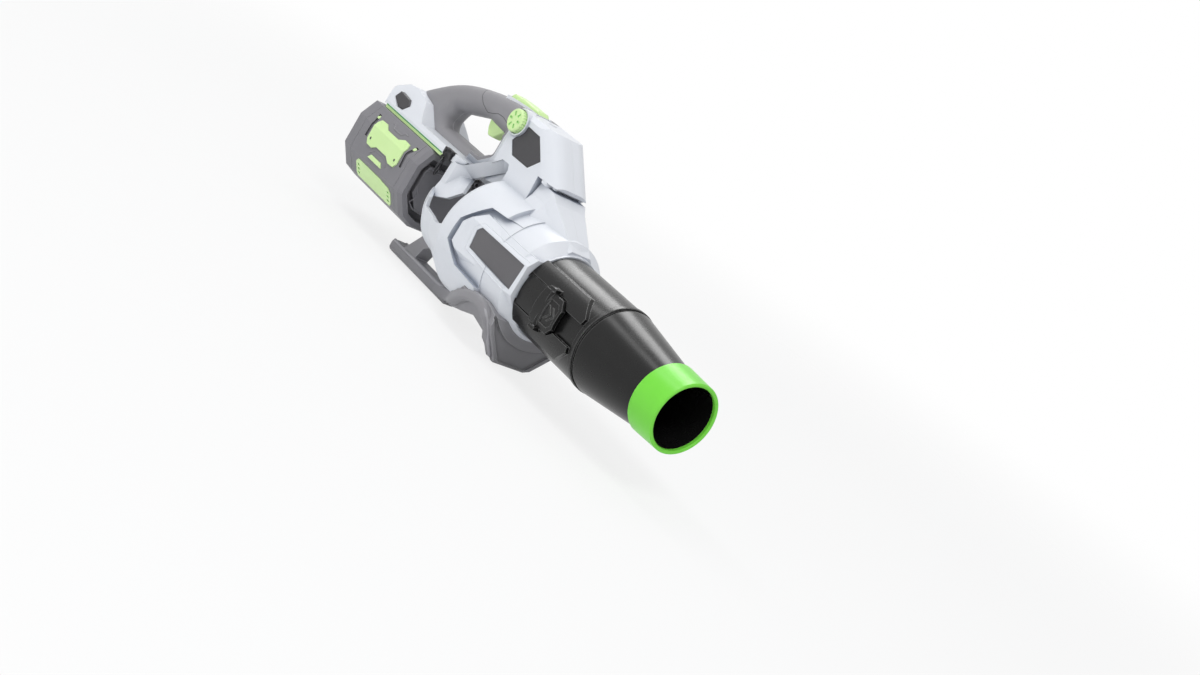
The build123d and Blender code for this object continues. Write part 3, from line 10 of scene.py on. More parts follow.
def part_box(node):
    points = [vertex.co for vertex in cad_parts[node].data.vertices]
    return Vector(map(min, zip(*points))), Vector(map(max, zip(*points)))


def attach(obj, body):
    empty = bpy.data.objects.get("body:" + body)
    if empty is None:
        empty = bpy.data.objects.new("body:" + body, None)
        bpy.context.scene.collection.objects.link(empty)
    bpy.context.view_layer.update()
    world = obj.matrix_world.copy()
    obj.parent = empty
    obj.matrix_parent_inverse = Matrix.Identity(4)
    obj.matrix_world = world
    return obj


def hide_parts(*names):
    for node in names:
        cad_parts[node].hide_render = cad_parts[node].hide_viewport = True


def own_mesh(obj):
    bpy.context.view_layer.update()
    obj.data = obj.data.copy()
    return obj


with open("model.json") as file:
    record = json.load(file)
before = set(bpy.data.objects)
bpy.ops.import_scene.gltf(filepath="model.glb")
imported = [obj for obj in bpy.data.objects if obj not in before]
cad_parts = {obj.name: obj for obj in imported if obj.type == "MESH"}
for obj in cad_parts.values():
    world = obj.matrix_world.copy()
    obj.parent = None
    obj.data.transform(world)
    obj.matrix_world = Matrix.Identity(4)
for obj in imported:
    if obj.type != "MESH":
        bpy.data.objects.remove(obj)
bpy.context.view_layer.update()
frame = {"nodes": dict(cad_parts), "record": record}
nodes = frame["nodes"]
scene = bpy.context.scene
hands = ((-1, "right"), (1, "left"))
# The blower's axis runs through the tip ring; lengths along it start where the nozzle meets the duct
nozzleGap = 0.0004
tipLow, tipHigh = (Vector(corner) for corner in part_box("nozzle_tip_ring"))
junction = Vector((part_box("nozzle_tube")[0][0] - nozzleGap, 0.0, (tipLow.z + tipHigh.z) / 2))
print("frame loaded:", len(nodes), "nodes")


# A place in millimetres from the junction, in metres of the frame
def at(x, y, z):
    return junction + Vector((x, y, z)) / 1000


# Colours are written as sRGB hex and used as linear values
def tone(hexText):
    parts = [int(hexText[i:i + 2], 16) / 255 for i in (1, 3, 5)]
    return tuple(c / 12.92 if c <= 0.04045 else ((c + 0.055) / 1.055) ** 2.4 for c in parts) + (1.0,)


# Adds a node with its settings; a value that is a socket becomes a link
def put(tree, kind, inputs=None, **settings):
    node = tree.nodes.new(kind)
    for name, value in settings.items():
        setattr(node, name, value)
    for socket, value in (inputs or {}).items():
        if isinstance(value, bpy.types.NodeSocket):
            tree.links.new(value, node.inputs[socket])
        else:
            node.inputs[socket].default_value = value
    return node


# The empty node tree of a new material or world
def emptyTree(owner):
    owner.use_nodes = True
    owner.node_tree.nodes.clear()
    return owner.node_tree


# The scale of a pattern whose features are this many millimetres wide
def perMetre(millimetres):
    return 1000.0 / millimetres


# Sockets of a Mix node that blends colours
colourA = 6
colourB = 7
mixedColour = 2

# Painted shade: greys the sheltered walls round the intake scoop, strongest near its middle
scoopShade = {"middle": at(-205, 0, 62), "near": 0.034, "far": 0.066, "shelterMm": 45,
             "open": 0.95, "closed": 0.5, "most": 0.95}


# Mixes in the painted shade round the intake scoop where it is near the middle and sheltered
def drawnDust(tree, place, under, colour):
    apart = put(tree, "ShaderNodeVectorMath", {0: place, 1: scoopShade["middle"]}, operation="SUBTRACT")
    inPlane = put(tree, "ShaderNodeVectorMath", {0: apart.outputs["Vector"], 1: (1, 0, 1)},
                  operation="MULTIPLY")
    away = put(tree, "ShaderNodeVectorMath", {0: inPlane.outputs["Vector"]}, operation="LENGTH")
    near = put(tree, "ShaderNodeMapRange", {
        "Value": away.outputs["Value"], "From Min": scoopShade["far"], "From Max": scoopShade["near"]},
        interpolation_type="SMOOTHSTEP")
    shelter = put(tree, "ShaderNodeAmbientOcclusion", {"Distance": scoopShade["shelterMm"] / 1000}, samples=10,
                  only_local=True)
    sheltered = put(tree, "ShaderNodeMapRange", {
        "Value": shelter.outputs["AO"], "From Min": scoopShade["open"], "From Max": scoopShade["closed"],
        "To Min": 0.0, "To Max": scoopShade["most"]})
    scoopShadeMask = put(tree, "ShaderNodeMath", {0: near.outputs["Result"], 1: sheltered.outputs["Result"]},
                 operation="MULTIPLY")
    return put(tree, "ShaderNodeMix", {
        "Factor": scoopShadeMask.outputs["Value"], colourA: under, colourB: tone(colour)}, data_type="RGBA")


# Moulded plastic: eroded mould grain, slow tone drift, painted shade in corners, edges paler from wear and
# painted highlight, dull scuffs
# Real mould grain is too fine to show in the render, so grainMm is drawn coarser than life
mould = {
    "scuffFrom": 0.56, "scuffTo": 0.72,      # part of the scuff noise that shows as marks
    "edgeFrom": 0.995, "edgeTo": 0.86,       # how far an edge turns away from its face
    "creviceFrom": 0.94, "creviceTo": 0.46,  # how closed in a corner is
    "dullFrom": 0.3, "dullTo": 0.75,         # part of the scuff noise that changes the gloss
    "grainDepth": 0.0002, "specular": 0.3}


def mouldedPlastic(name, look):
    material = bpy.data.materials.new(name)
    tree = emptyTree(material)
    place = put(tree, "ShaderNodeTexCoord").outputs["Object"]
    drift = put(tree, "ShaderNodeTexNoise", {
        "Vector": place, "Scale": perMetre(look["driftMm"]), "Detail": 3.0})
    grain = put(tree, "ShaderNodeTexNoise", {
        "Vector": place, "Scale": perMetre(look["grainMm"]), "Detail": 2.0})
    scuff = put(tree, "ShaderNodeTexNoise", {
        "Vector": place, "Scale": perMetre(look["scuffMm"]), "Detail": 6.0, "Roughness": 0.7,
        "Distortion": 0.6})
    scuffMask = put(tree, "ShaderNodeMapRange", {
        "Value": scuff.outputs["Fac"], "From Min": mould["scuffFrom"], "From Max": mould["scuffTo"],
        "To Min": 0.0, "To Max": look["scuff"]})
    rounded = put(tree, "ShaderNodeBevel", {"Radius": look["edgeMm"] / 1000}, samples=4)
    flat = put(tree, "ShaderNodeNewGeometry").outputs["Normal"]
    facing = put(tree, "ShaderNodeVectorMath", {0: rounded.outputs["Normal"], 1: flat},
                 operation="DOT_PRODUCT")
    # Edges turn toward the edge colour: partly wear, partly painted highlight
    edgeWearAndHighlightMask = put(tree, "ShaderNodeMapRange", {
        "Value": facing.outputs["Value"], "From Min": mould["edgeFrom"], "From Max": mould["edgeTo"],
        "To Min": 0.0, "To Max": look["edgeWearAndHighlight"]})
    base = put(tree, "ShaderNodeMix", {
        "Factor": drift.outputs["Fac"], colourA: tone(look["colour"]), colourB: tone(look["drift"])},
        data_type="RGBA")
    # Painted shade: corners and steps darken toward the crevice shade colour where the local AO is low
    hollow = put(tree, "ShaderNodeAmbientOcclusion", {"Distance": look["creviceMm"] / 1000}, samples=10,
                 only_local=True)
    creviceShadeMask = put(tree, "ShaderNodeMapRange", {
        "Value": hollow.outputs["AO"], "From Min": mould["creviceFrom"], "From Max": mould["creviceTo"],
        "To Min": 0.0, "To Max": look["creviceShadeAmount"]})
    shaded = put(tree, "ShaderNodeMix", {
        "Factor": creviceShadeMask.outputs["Result"], colourA: base.outputs[mixedColour],
        colourB: tone(look["creviceShade"])}, data_type="RGBA")
    # Painted shade round the intake scoop, on materials that give a colour for it
    if "drawn" in look:
        shaded = drawnDust(tree, place, shaded.outputs[mixedColour], look["drawn"])
    edgeWornAndLit = put(tree, "ShaderNodeMix", {
        "Factor": edgeWearAndHighlightMask.outputs["Result"], colourA: shaded.outputs[mixedColour],
        colourB: tone(look["edge"])}, data_type="RGBA")
    dulled = put(tree, "ShaderNodeMix", {
        "Factor": scuffMask.outputs["Result"], colourA: edgeWornAndLit.outputs[mixedColour],
        colourB: tone(look["dust"])}, data_type="RGBA")
    rough = put(tree, "ShaderNodeMapRange", {
        "Value": scuff.outputs["Fac"], "From Min": mould["dullFrom"], "From Max": mould["dullTo"],
        "To Min": look["roughness"] - look["roughSpread"],
        "To Max": look["roughness"] + look["roughSpread"]})
    bump = put(tree, "ShaderNodeBump", {
        "Height": grain.outputs["Fac"], "Normal": rounded.outputs["Normal"], "Strength": look["grain"],
        "Distance": mould["grainDepth"]})
    shader = put(tree, "ShaderNodeBsdfPrincipled", {
        "Base Color": dulled.outputs[mixedColour], "Roughness": rough.outputs["Result"],
        "Normal": bump.outputs["Normal"], "IOR": look["ior"], "Specular IOR Level": mould["specular"]})
    put(tree, "ShaderNodeOutputMaterial", {"Surface": shader.outputs["BSDF"]})
    return material


# Worked metal: fine tool lines along one direction, worn bright or oiled patches
# Real tool lines are too fine to show in the render, so lineMm is drawn coarser than life
tooling = {"patchFrom": 0.4, "patchTo": 0.7, "edgeRadius": 0.0003, "roughSpread": 0.1, "lineDepth": 0.0001}


def workedMetal(name, look):
    material = bpy.data.materials.new(name)
    tree = emptyTree(material)
    place = put(tree, "ShaderNodeTexCoord").outputs["Object"]
    stretched = put(tree, "ShaderNodeMapping", {"Vector": place, "Scale": look["lay"]})
    lines = put(tree, "ShaderNodeTexNoise", {
        "Vector": stretched.outputs["Vector"], "Scale": perMetre(look["lineMm"]), "Detail": 4.0})
    patch = put(tree, "ShaderNodeTexNoise", {
        "Vector": place, "Scale": perMetre(look["patchMm"]), "Detail": 4.0})
    blend = put(tree, "ShaderNodeMapRange", {
        "Value": patch.outputs["Fac"], "From Min": tooling["patchFrom"], "From Max": tooling["patchTo"]})
    base = put(tree, "ShaderNodeMix", {
        "Factor": blend.outputs["Result"], colourA: tone(look["colour"]), colourB: tone(look["patch"])},
        data_type="RGBA")
    rounded = put(tree, "ShaderNodeBevel", {"Radius": tooling["edgeRadius"]}, samples=4)
    rough = put(tree, "ShaderNodeMapRange", {
        "Value": lines.outputs["Fac"], "To Min": look["roughness"] - tooling["roughSpread"],
        "To Max": look["roughness"] + tooling["roughSpread"]})
    bump = put(tree, "ShaderNodeBump", {
        "Height": lines.outputs["Fac"], "Normal": rounded.outputs["Normal"], "Strength": look["line"],
        "Distance": tooling["lineDepth"]})
    shader = put(tree, "ShaderNodeBsdfPrincipled", {
        "Base Color": base.outputs[mixedColour], "Metallic": look["metallic"],
        "Roughness": rough.outputs["Result"], "Normal": bump.outputs["Normal"]})
    put(tree, "ShaderNodeOutputMaterial", {"Surface": shader.outputs["BSDF"]})
    return material


# White ABS, injection moulded in a satin mould: cool white, soft sheen, painted grey shade in the steps and
# round the intake scoop
whiteAbs = mouldedPlastic("whiteAbs", {
    "colour": "#E9ECF2", "drift": "#E3E7EE", "edge": "#F5F7FA", "dust": "#D0D4DA",
    "creviceShade": "#8B93A3", "creviceMm": 16, "creviceShadeAmount": 0.85, "drawn": "#868C97",
    "driftMm": 60, "grainMm": 0.7, "grain": 0.10, "scuffMm": 22, "scuff": 0.14, "edgeMm": 0.9, "edgeWearAndHighlight": 0.6,
    "roughness": 0.40, "roughSpread": 0.07, "ior": 1.53})
# Grey glass filled nylon, coarse mould grain: dull, paler along its edges from hand wear and painted
# highlight
greyNylon = mouldedPlastic("greyNylon", {
    "colour": "#98979B", "drift": "#8F8E92", "edge": "#CFCED3", "dust": "#A6A5A8",
    "creviceShade": "#555457", "creviceMm": 14, "creviceShadeAmount": 0.8,
    "driftMm": 45, "grainMm": 0.9, "grain": 0.30, "scuffMm": 15, "scuff": 0.25, "edgeMm": 1.6, "edgeWearAndHighlight": 0.7,
    "roughness": 0.55, "roughSpread": 0.09, "ior": 1.5})
# A paler copy of the same nylon: painted highlight along the stand's upper edges
paleLitNylon = mouldedPlastic("paleLitNylon", {
    "colour": "#B3B2B7", "drift": "#A8A7AC", "edge": "#CFCED3", "dust": "#A6A5A8",
    "creviceShade": "#7E7D81", "creviceMm": 4, "creviceShadeAmount": 0.5,
    "driftMm": 30, "grainMm": 0.9, "grain": 0.2, "scuffMm": 9, "scuff": 0.35, "edgeMm": 1.0, "edgeWearAndHighlight": 0.4,
    "roughness": 0.45, "roughSpread": 0.08, "ior": 1.5})
# The battery's own grey ABS, finer grain than the grip
greyAbs = mouldedPlastic("greyAbs", {
    "colour": "#87868B", "drift": "#7F7E83", "edge": "#ACABB0", "dust": "#949397",
    "creviceShade": "#48474A", "creviceMm": 10, "creviceShadeAmount": 0.9,
    "driftMm": 50, "grainMm": 0.7, "grain": 0.2, "scuffMm": 18, "scuff": 0.22, "edgeMm": 0.8, "edgeWearAndHighlight": 0.6,
    "roughness": 0.5, "roughSpread": 0.08, "ior": 1.53})
# Mid grey polycarbonate inset, flat matt face
panelPolycarbonate = mouldedPlastic("panelPolycarbonate", {
    "colour": "#68676A", "drift": "#636265", "edge": "#858487", "dust": "#737275",
    "creviceShade": "#505053", "creviceMm": 4, "creviceShadeAmount": 0.5,
    "driftMm": 40, "grainMm": 0.6, "grain": 0.16, "scuffMm": 14, "scuff": 0.2, "edgeMm": 0.5, "edgeWearAndHighlight": 0.45,
    "roughness": 0.5, "roughSpread": 0.06, "ior": 1.58})
# Darker polycarbonate of the hexagon plates and the release button
platePolycarbonate = mouldedPlastic("platePolycarbonate", {
    "colour": "#464548", "drift": "#424144", "edge": "#646366", "dust": "#525154",
    "creviceShade": "#404042", "creviceMm": 4, "creviceShadeAmount": 0.5,
    "driftMm": 30, "grainMm": 0.6, "grain": 0.14, "scuffMm": 12, "scuff": 0.2, "edgeMm": 0.5, "edgeWearAndHighlight": 0.45,
    "roughness": 0.5, "roughSpread": 0.06, "ior": 1.58})
# Lime ABS of the controls and battery inserts: bright, satin, slightly chalky
limeAbs = mouldedPlastic("limeAbs", {
    "colour": "#DDFBB6", "drift": "#D6F9AA", "edge": "#F3FEE6", "dust": "#DAEEC6",
    "creviceShade": "#86DA66", "creviceMm": 5, "creviceShadeAmount": 0.75,
    "driftMm": 25, "grainMm": 0.6, "grain": 0.10, "scuffMm": 10, "scuff": 0.15, "edgeMm": 0.6, "edgeWearAndHighlight": 0.6,
    "roughness": 0.36, "roughSpread": 0.06, "ior": 1.53})
# Deep green ABS for the painted shadow line along the battery rails: darker than the lime, satin
shadowLineGreen = mouldedPlastic("shadowLineGreen", {
    "colour": "#3F9A58", "drift": "#378E50", "edge": "#62B878", "dust": "#6A9C76",
    "creviceShade": "#2C6E3E", "creviceMm": 3, "creviceShadeAmount": 0.6,
    "driftMm": 20, "grainMm": 0.6, "grain": 0.10, "scuffMm": 8, "scuff": 0.2, "edgeMm": 0.3, "edgeWearAndHighlight": 0.4,
    "roughness": 0.45, "roughSpread": 0.06, "ior": 1.53})
# Bright green polypropylene of the tip ring: deeper colour, waxy gloss
greenPolypropylene = mouldedPlastic("greenPolypropylene", {
    "colour": "#80E64B", "drift": "#76DE40", "edge": "#A9F382", "dust": "#8CCB6A",
    "creviceShade": "#58B431", "creviceMm": 8, "creviceShadeAmount": 0.7,
    "driftMm": 35, "grainMm": 0.5, "grain": 0.05, "scuffMm": 16, "scuff": 0.12, "edgeMm": 0.7, "edgeWearAndHighlight": 0.5,
    "roughness": 0.33, "roughSpread": 0.06, "ior": 1.49})
# Black polypropylene of the nozzle: half gloss, broad soft highlights, faint handling marks, pale edges that
# are partly wear and partly painted highlight
blackPolypropylene = mouldedPlastic("blackPolypropylene", {
    "colour": "#171717", "drift": "#131313", "edge": "#868686", "dust": "#1E1E1E",
    "creviceShade": "#0A0A0A", "creviceMm": 10, "creviceShadeAmount": 0.8,
    "driftMm": 50, "grainMm": 3.0, "grain": 0.01, "scuffMm": 24, "scuff": 0.25, "edgeMm": 1.3, "edgeWearAndHighlight": 0.75,
    "roughness": 0.27, "roughSpread": 0.03, "ior": 1.49})
# Dark inner mouldings, bare from the tool, dusted by the air they guide
innerNylon = mouldedPlastic("innerNylon", {
    "colour": "#4A4A4D", "drift": "#434346", "edge": "#626266", "dust": "#6B6862",
    "creviceShade": "#2C2C2E", "creviceMm": 8, "creviceShadeAmount": 0.6,
    "driftMm": 30, "grainMm": 0.8, "grain": 0.25, "scuffMm": 12, "scuff": 0.35, "edgeMm": 0.5, "edgeWearAndHighlight": 0.4,
    "roughness": 0.62, "roughSpread": 0.08, "ior": 1.5})
# Fan nylon, glass filled: dark grey, dusty in patches, paler along its edges
fanNylon = mouldedPlastic("fanNylon", {
    "colour": "#3C3C3F", "drift": "#363639", "edge": "#5A5A5E", "dust": "#66635C",
    "creviceShade": "#232325", "creviceMm": 8, "creviceShadeAmount": 0.6,
    "driftMm": 20, "grainMm": 0.7, "grain": 0.2, "scuffMm": 9, "scuff": 0.4, "edgeMm": 0.5, "edgeWearAndHighlight": 0.5,
    "roughness": 0.52, "roughSpread": 0.08, "ior": 1.5})
# Coated circuit board, dark green with a resin gloss
coatedBoard = mouldedPlastic("coatedBoard", {
    "colour": "#1E5A30", "drift": "#1A4F2A", "edge": "#8A8A52", "dust": "#4C6A50",
    "creviceShade": "#12381E", "creviceMm": 3, "creviceShadeAmount": 0.5,
    "driftMm": 8, "grainMm": 0.4, "grain": 0.08, "scuffMm": 5, "scuff": 0.2, "edgeMm": 0.3, "edgeWearAndHighlight": 0.5,
    "roughness": 0.3, "roughSpread": 0.06, "ior": 1.55})
# Blackened steel sheet and wire: dark oxide, oily sheen, rubbed to grey in patches
blackSteel = workedMetal("blackenedSteel", {
    "colour": "#2A2A2C", "patch": "#4A4A4D", "metallic": 0.85, "roughness": 0.42, "lineMm": 0.8, "line": 0.25,
    "patchMm": 4, "lay": (1.0, 1.0, 6.0)})
# Turned bare steel: bright, fine turning lines round the axis
turnedSteel = workedMetal("turnedSteel", {
    "colour": "#C4C4C8", "patch": "#A8A8AD", "metallic": 1.0, "roughness": 0.3, "lineMm": 0.6, "line": 0.3,
    "patchMm": 10, "lay": (8.0, 1.0, 1.0)})
# Drawn spring wire, lightly blued
springWire = workedMetal("springWire", {
    "colour": "#A2A3AA", "patch": "#84868F", "metallic": 1.0, "roughness": 0.34, "lineMm": 0.5, "line": 0.2,
    "patchMm": 5, "lay": (1.0, 1.0, 1.0)})
# Aluminium motor can, turned and lightly oxidised
turnedAluminium = workedMetal("turnedAluminium", {
    "colour": "#C9CACD", "patch": "#B2B3B7", "metallic": 1.0, "roughness": 0.38, "lineMm": 0.8, "line": 0.3,
    "patchMm": 15, "lay": (8.0, 1.0, 1.0)})
# Laminated core iron, dark with sheet lines across the axis
laminatedIron = workedMetal("laminatedIron", {
    "colour": "#56524F", "patch": "#433F3D", "metallic": 0.9, "roughness": 0.55, "lineMm": 1.0, "line": 0.6,
    "patchMm": 6, "lay": (6.0, 0.5, 0.5)})
# Plated brass contact blades
platedBrass = workedMetal("platedBrass", {
    "colour": "#CDB06A", "patch": "#B89552", "metallic": 1.0, "roughness": 0.28, "lineMm": 0.5, "line": 0.2,
    "patchMm": 4, "lay": (1.0, 1.0, 5.0)})

slotMaterials = {
    "white_plastic": whiteAbs, "grey_plastic": greyNylon, "panel_plastic": panelPolycarbonate,
    "plate_plastic": platePolycarbonate, "lime_plastic": limeAbs, "tip_plastic": greenPolypropylene,
    "nozzle_plastic": blackPolypropylene, "battery_plastic": greyAbs, "inner_plastic": innerNylon,
    "fan_plastic": fanNylon, "black_steel": blackSteel, "bare_steel": turnedSteel, "spring_steel": springWire,
    "motor_steel": turnedAluminium, "core_steel": laminatedIron, "board_plastic": coatedBoard,
    "contact_metal": platedBrass}
for part in frame["record"]["subparts"]:
    cadObject = nodes[part["node"]]
    cadObject.data.materials.clear()
    cadObject.data.materials.append(slotMaterials[part["material_slot"]])
print("materials set:", len(slotMaterials))


# Gives a new piece its finish and the body it rides on
def dress(piece, material, body):
    scene.collection.objects.link(piece)
    piece.data.materials.append(material)
    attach(piece, body)
    return piece


# Joins rings of points into a closed skin
def skinned(name, rings, settleNormals=True, smoothEnds=False):
    mesh = bpy.data.meshes.new(name)
    shape = bmesh.new()
    loops = [[shape.verts.new(point) for point in ring] for ring in rings]
    for low, high in zip(loops, loops[1:]):
        for i in range(len(low)):
            j = (i + 1) % len(low)
            shape.faces.new((low[i], low[j], high[j], high[i]))
    shape.faces.new(list(reversed(loops[0])))
    shape.faces.new(loops[-1])
    if settleNormals:
        bmesh.ops.recalc_face_normals(shape, faces=shape.faces)
    shape.to_mesh(mesh)
    shape.free()
    for face in mesh.polygons:
        face.use_smooth = smoothEnds or len(face.vertices) == 4
    return bpy.data.objects.new(name, mesh)


# Angles that go once round in even steps
def roundAngles(steps):
    return [2 * math.pi * i / steps for i in range(steps)]


# Sides of each kind of round piece, and steps along one turn of a spring
sides = {"turned": 32, "beam": 28, "wire": 8, "springTurn": 24}


# A round bead or fine seam along a line of points
def bead(name, points, radiusMm, material, body, closed=False):
    line = bpy.data.curves.new(name, "CURVE")
    line.dimensions = "3D"
    line.bevel_depth = radiusMm / 1000
    line.bevel_resolution = 2
    line.use_fill_caps = True
    path = line.splines.new("POLY")
    path.points.add(len(points) - 1)
    for knot, point in zip(path.points, points):
        knot.co = (*point, 1.0)
    path.use_cyclic_u = closed
    path.use_smooth = True
    return dress(bpy.data.objects.new(name, line), material, body)


# A turned piece: a profile of radius and height in mm, spun round an axis
def spun(name, profile, middle, axis, material, body):
    turn = Vector(axis).normalized().to_track_quat("Z", "Y").to_matrix()
    rings = []
    for radius, height in profile:
        ring = []
        for angle in roundAngles(sides["turned"]):
            local = Vector((radius * math.cos(angle), radius * math.sin(angle), height)) / 1000
            ring.append(middle + turn @ local)
        rings.append(ring)
    return dress(skinned(name, rings, settleNormals=False), material, body)


# A moulded beam with rounded corners along stations of (centre, half width, half height)
def beam(name, stations, material, body, square=0.55):
    centres = [station[0] for station in stations]
    rings = []
    for i, (centre, halfWide, halfHigh) in enumerate(stations):
        along = (centres[min(i + 1, len(centres) - 1)] - centres[max(i - 1, 0)]).normalized()
        across = Vector((-along.y, along.x, 0)).normalized()
        upright = along.cross(across).normalized()
        ring = []
        for angle in roundAngles(sides["beam"]):
            u = math.copysign(abs(math.cos(angle)) ** square, math.cos(angle)) * halfWide / 1000
            v = math.copysign(abs(math.sin(angle)) ** square, math.sin(angle)) * halfHigh / 1000
            ring.append(centre + across * u + upright * v)
        rings.append(ring)
    return dress(skinned(name, rings), material, body)


# A smooth run through a line of knots
def smoothed(knots, steps):
    run = []
    for i in range(len(knots) - 1):
        before = knots[max(i - 1, 0)]
        start = knots[i]
        end = knots[i + 1]
        after = knots[min(i + 2, len(knots) - 1)]
        for k in range(steps):
            t = k / steps
            bend = (end - before) * t + (2 * before - 5 * start + 4 * end - after) * t ** 2
            run.append(start + 0.5 * (bend + (3 * start - before - 3 * end + after) * t ** 3))
    return run + [knots[-1]]


# Lays points on a CAD node's surface, looking along a direction from well outside it
def laidOn(node, points, direction, sink=0.0001):
    outside = 0.2
    mesh = nodes[node].data
    skin = BVHTree.FromPolygons([v.co for v in mesh.vertices], [list(p.vertices) for p in mesh.polygons])
    way = Vector(direction).normalized()
    hits = [skin.ray_cast(point - way * outside, way)[0] for point in points]
    return [hit + way * sink for hit in hits if hit is not None]


# Points spread evenly along straight runs
def spread(corners, stepMm):
    points = [corners[0]]
    for start, end in zip(corners, corners[1:]):
        count = max(1, round((end - start).length * 1000 / stepMm))
        points += [start.lerp(end, i / count) for i in range(1, count + 1)]
    return points


# Wound wire springs under the pressed pieces, each wound from its fixed end to its free end
def coilSpring(node, look):
    fixed = at(*look["fixed"])
    free = at(*look["free"])
    along = (free - fixed).normalized()
    first = along.orthogonal().normalized()
    second = along.cross(first)
    wire = look["wireMm"] / 2000
    winding = look["coilMm"] / 2000 - wire
    clear = (free - fixed).length - 2 * wire
    steps = round(look["turns"] * sides["springTurn"])
    rings = []
    for i in range(steps + 1):
        angle = 2 * math.pi * look["turns"] * i / steps
        outward = first * math.cos(angle) + second * math.sin(angle)
        centre = fixed + along * (wire + clear * i / steps) + outward * winding
        rings.append([centre + wire * (outward * math.cos(a) + along * math.sin(a))
                      for a in roundAngles(sides["wire"])])
    piece = skinned(node + "_coil", rings, smoothEnds=True)
    dress(piece, springWire, look["body"])
    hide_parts(node)
    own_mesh(piece)


coilSpring("trigger_spring", {
    "fixed": (-250, 0, 125.1), "free": (-250, 0, 119.3), "coilMm": 5.8, "wireMm": 0.6,
    "turns": 4.5, "body": "housing", "joint": "trigger_pull", "keep": 0.34})
coilSpring("lever_spring", {
    "fixed": (-233, 0, 131.8), "free": (-233, 0, 142.2), "coilMm": 5.8, "wireMm": 0.6,
    "turns": 6.5, "body": "housing", "joint": "boost_press", "keep": 0.64})
coilSpring("release_spring", {
    "fixed": (-394, -26.8, 63), "free": (-394, -30.7, 63), "coilMm": 5.8, "wireMm": 0.5,
    "turns": 3.5, "body": "housing", "joint": "battery_release", "keep": 0.27})
coilSpring("latch_spring", {
    "fixed": (74, -52.3, 0), "free": (74, -54.6, 0), "coilMm": 5.8, "wireMm": 0.5,
    "turns": 2.5, "body": "nozzle", "joint": "nozzle_latch", "keep": 0.32})
print("springs wound")

# Battery: a fine frame line above and below the waist of each insert, and at its ends lime rims round dark
# discs of painted shade that stand for holes
packLook = {
    "middleX": -350.5, "halfWidth": 58.0, "shoulderZ": 21.0, "lean": 12.0 / 23.0,
    "frameMm": 1.4, "frameLift": -0.65,
    "upperFrame": [(-20, 16), (-14, 16), (-10, 11.5), (10, 11.5), (14, 16), (20, 16)],
    "lowerFrame": [(-22, -30), (-17, -26), (-13, -22.5), (13, -22.5), (17, -26), (22, -30)],
    "holeX": 33.5, "holeLift": 1.4,
    "holeRows": (("upper", 7.0, 0.46), ("lower", -15.0, 0.0)),  # height over the shoulder, upward lean
    "rimProfile": [(2.9, -0.6), (2.9, 0.25), (2.5, 0.45), (2.0, 0.35), (1.8, 0.05)],
    "holeShadeProfile": [(1.9, -0.4), (1.9, 0.08), (1.2, 0.1)]}


# A place on the battery's side; above the shoulder the side leans in
def onPack(x, up, side, lift):
    z = packLook["shoulderZ"] + up
    y = packLook["halfWidth"] - max(0.0, up) * packLook["lean"] + lift
    return at(packLook["middleX"] + x, side * y, z)


for side, hand in hands:
    for row in ("upper", "lower"):
        ridge = [onPack(x, up, side, packLook["frameLift"]) for x, up in packLook[row + "Frame"]]
        bead("insert_frame_" + row + "_" + hand, ridge, packLook["frameMm"], greyAbs, "battery")
    for end, place in ((-1, "rear"), (1, "front")):
        for row, up, lean in packLook["holeRows"]:
            middle = onPack(end * packLook["holeX"], up, side, packLook["holeLift"])
            outward = (0, side, lean)
            name = "insert_hole_" + row + "_" + hand + "_" + place
            spun(name + "_rim", packLook["rimProfile"], middle, outward, limeAbs, "battery")
            # Dark disc of painted shade inside each lime rim, standing for the hole
            spun(name, packLook["holeShadeProfile"], middle, outward, innerNylon, "battery")
print("battery frames and holes ready")

# Battery front: a rim round the raised plate and hollow bosses in the sunk field
noseLook = {
    "plateX": -281.0, "floorX": -287.0, "rimMm": 1.1,
    "rimHalf": [(-20, 20), (-37, 17), (-37, -4), (-31, -12), (-31, -20), (-36, -26), (-26, -33), (-12, -35)],
    "bosses": ((-41, 26), (-46, -18), (41, 26), (46, -18)),
    "bossProfile": [(5.0, 0), (4.6, 4.5), (4.2, 5.0), (2.6, 5.0), (2.2, 4.6), (2.2, 2.0)]}
noseRing = noseLook["rimHalf"] + [(-y, z) for y, z in reversed(noseLook["rimHalf"])]
bead("battery_plate_rim", [at(noseLook["plateX"], y, z) for y, z in noseRing], noseLook["rimMm"], greyAbs,
     "battery", closed=True)
for y, z in noseLook["bosses"]:
    name = "battery_boss_" + ("right" if y < 0 else "left") + ("_upper" if z > 0 else "_lower")
    spun(name, noseLook["bossProfile"], at(noseLook["floorX"], y, z), (1, 0, 0), greyAbs, "battery")
print("battery front ready")

# A dark green line along each lime rail strip against the arm: painted shadow of the gap between them
shadowLineLook = {"ends": (-414, -264), "halfWidth": 42.9, "z": 48.6, "radiusMm": 0.75}
for side, hand in hands:
    run = [at(x, side * shadowLineLook["halfWidth"], shadowLineLook["z"]) for x in shadowLineLook["ends"]]
    bead("rail_shadow_line_" + hand, run, shadowLineLook["radiusMm"], shadowLineGreen, "housing")
print("rail seals ready")

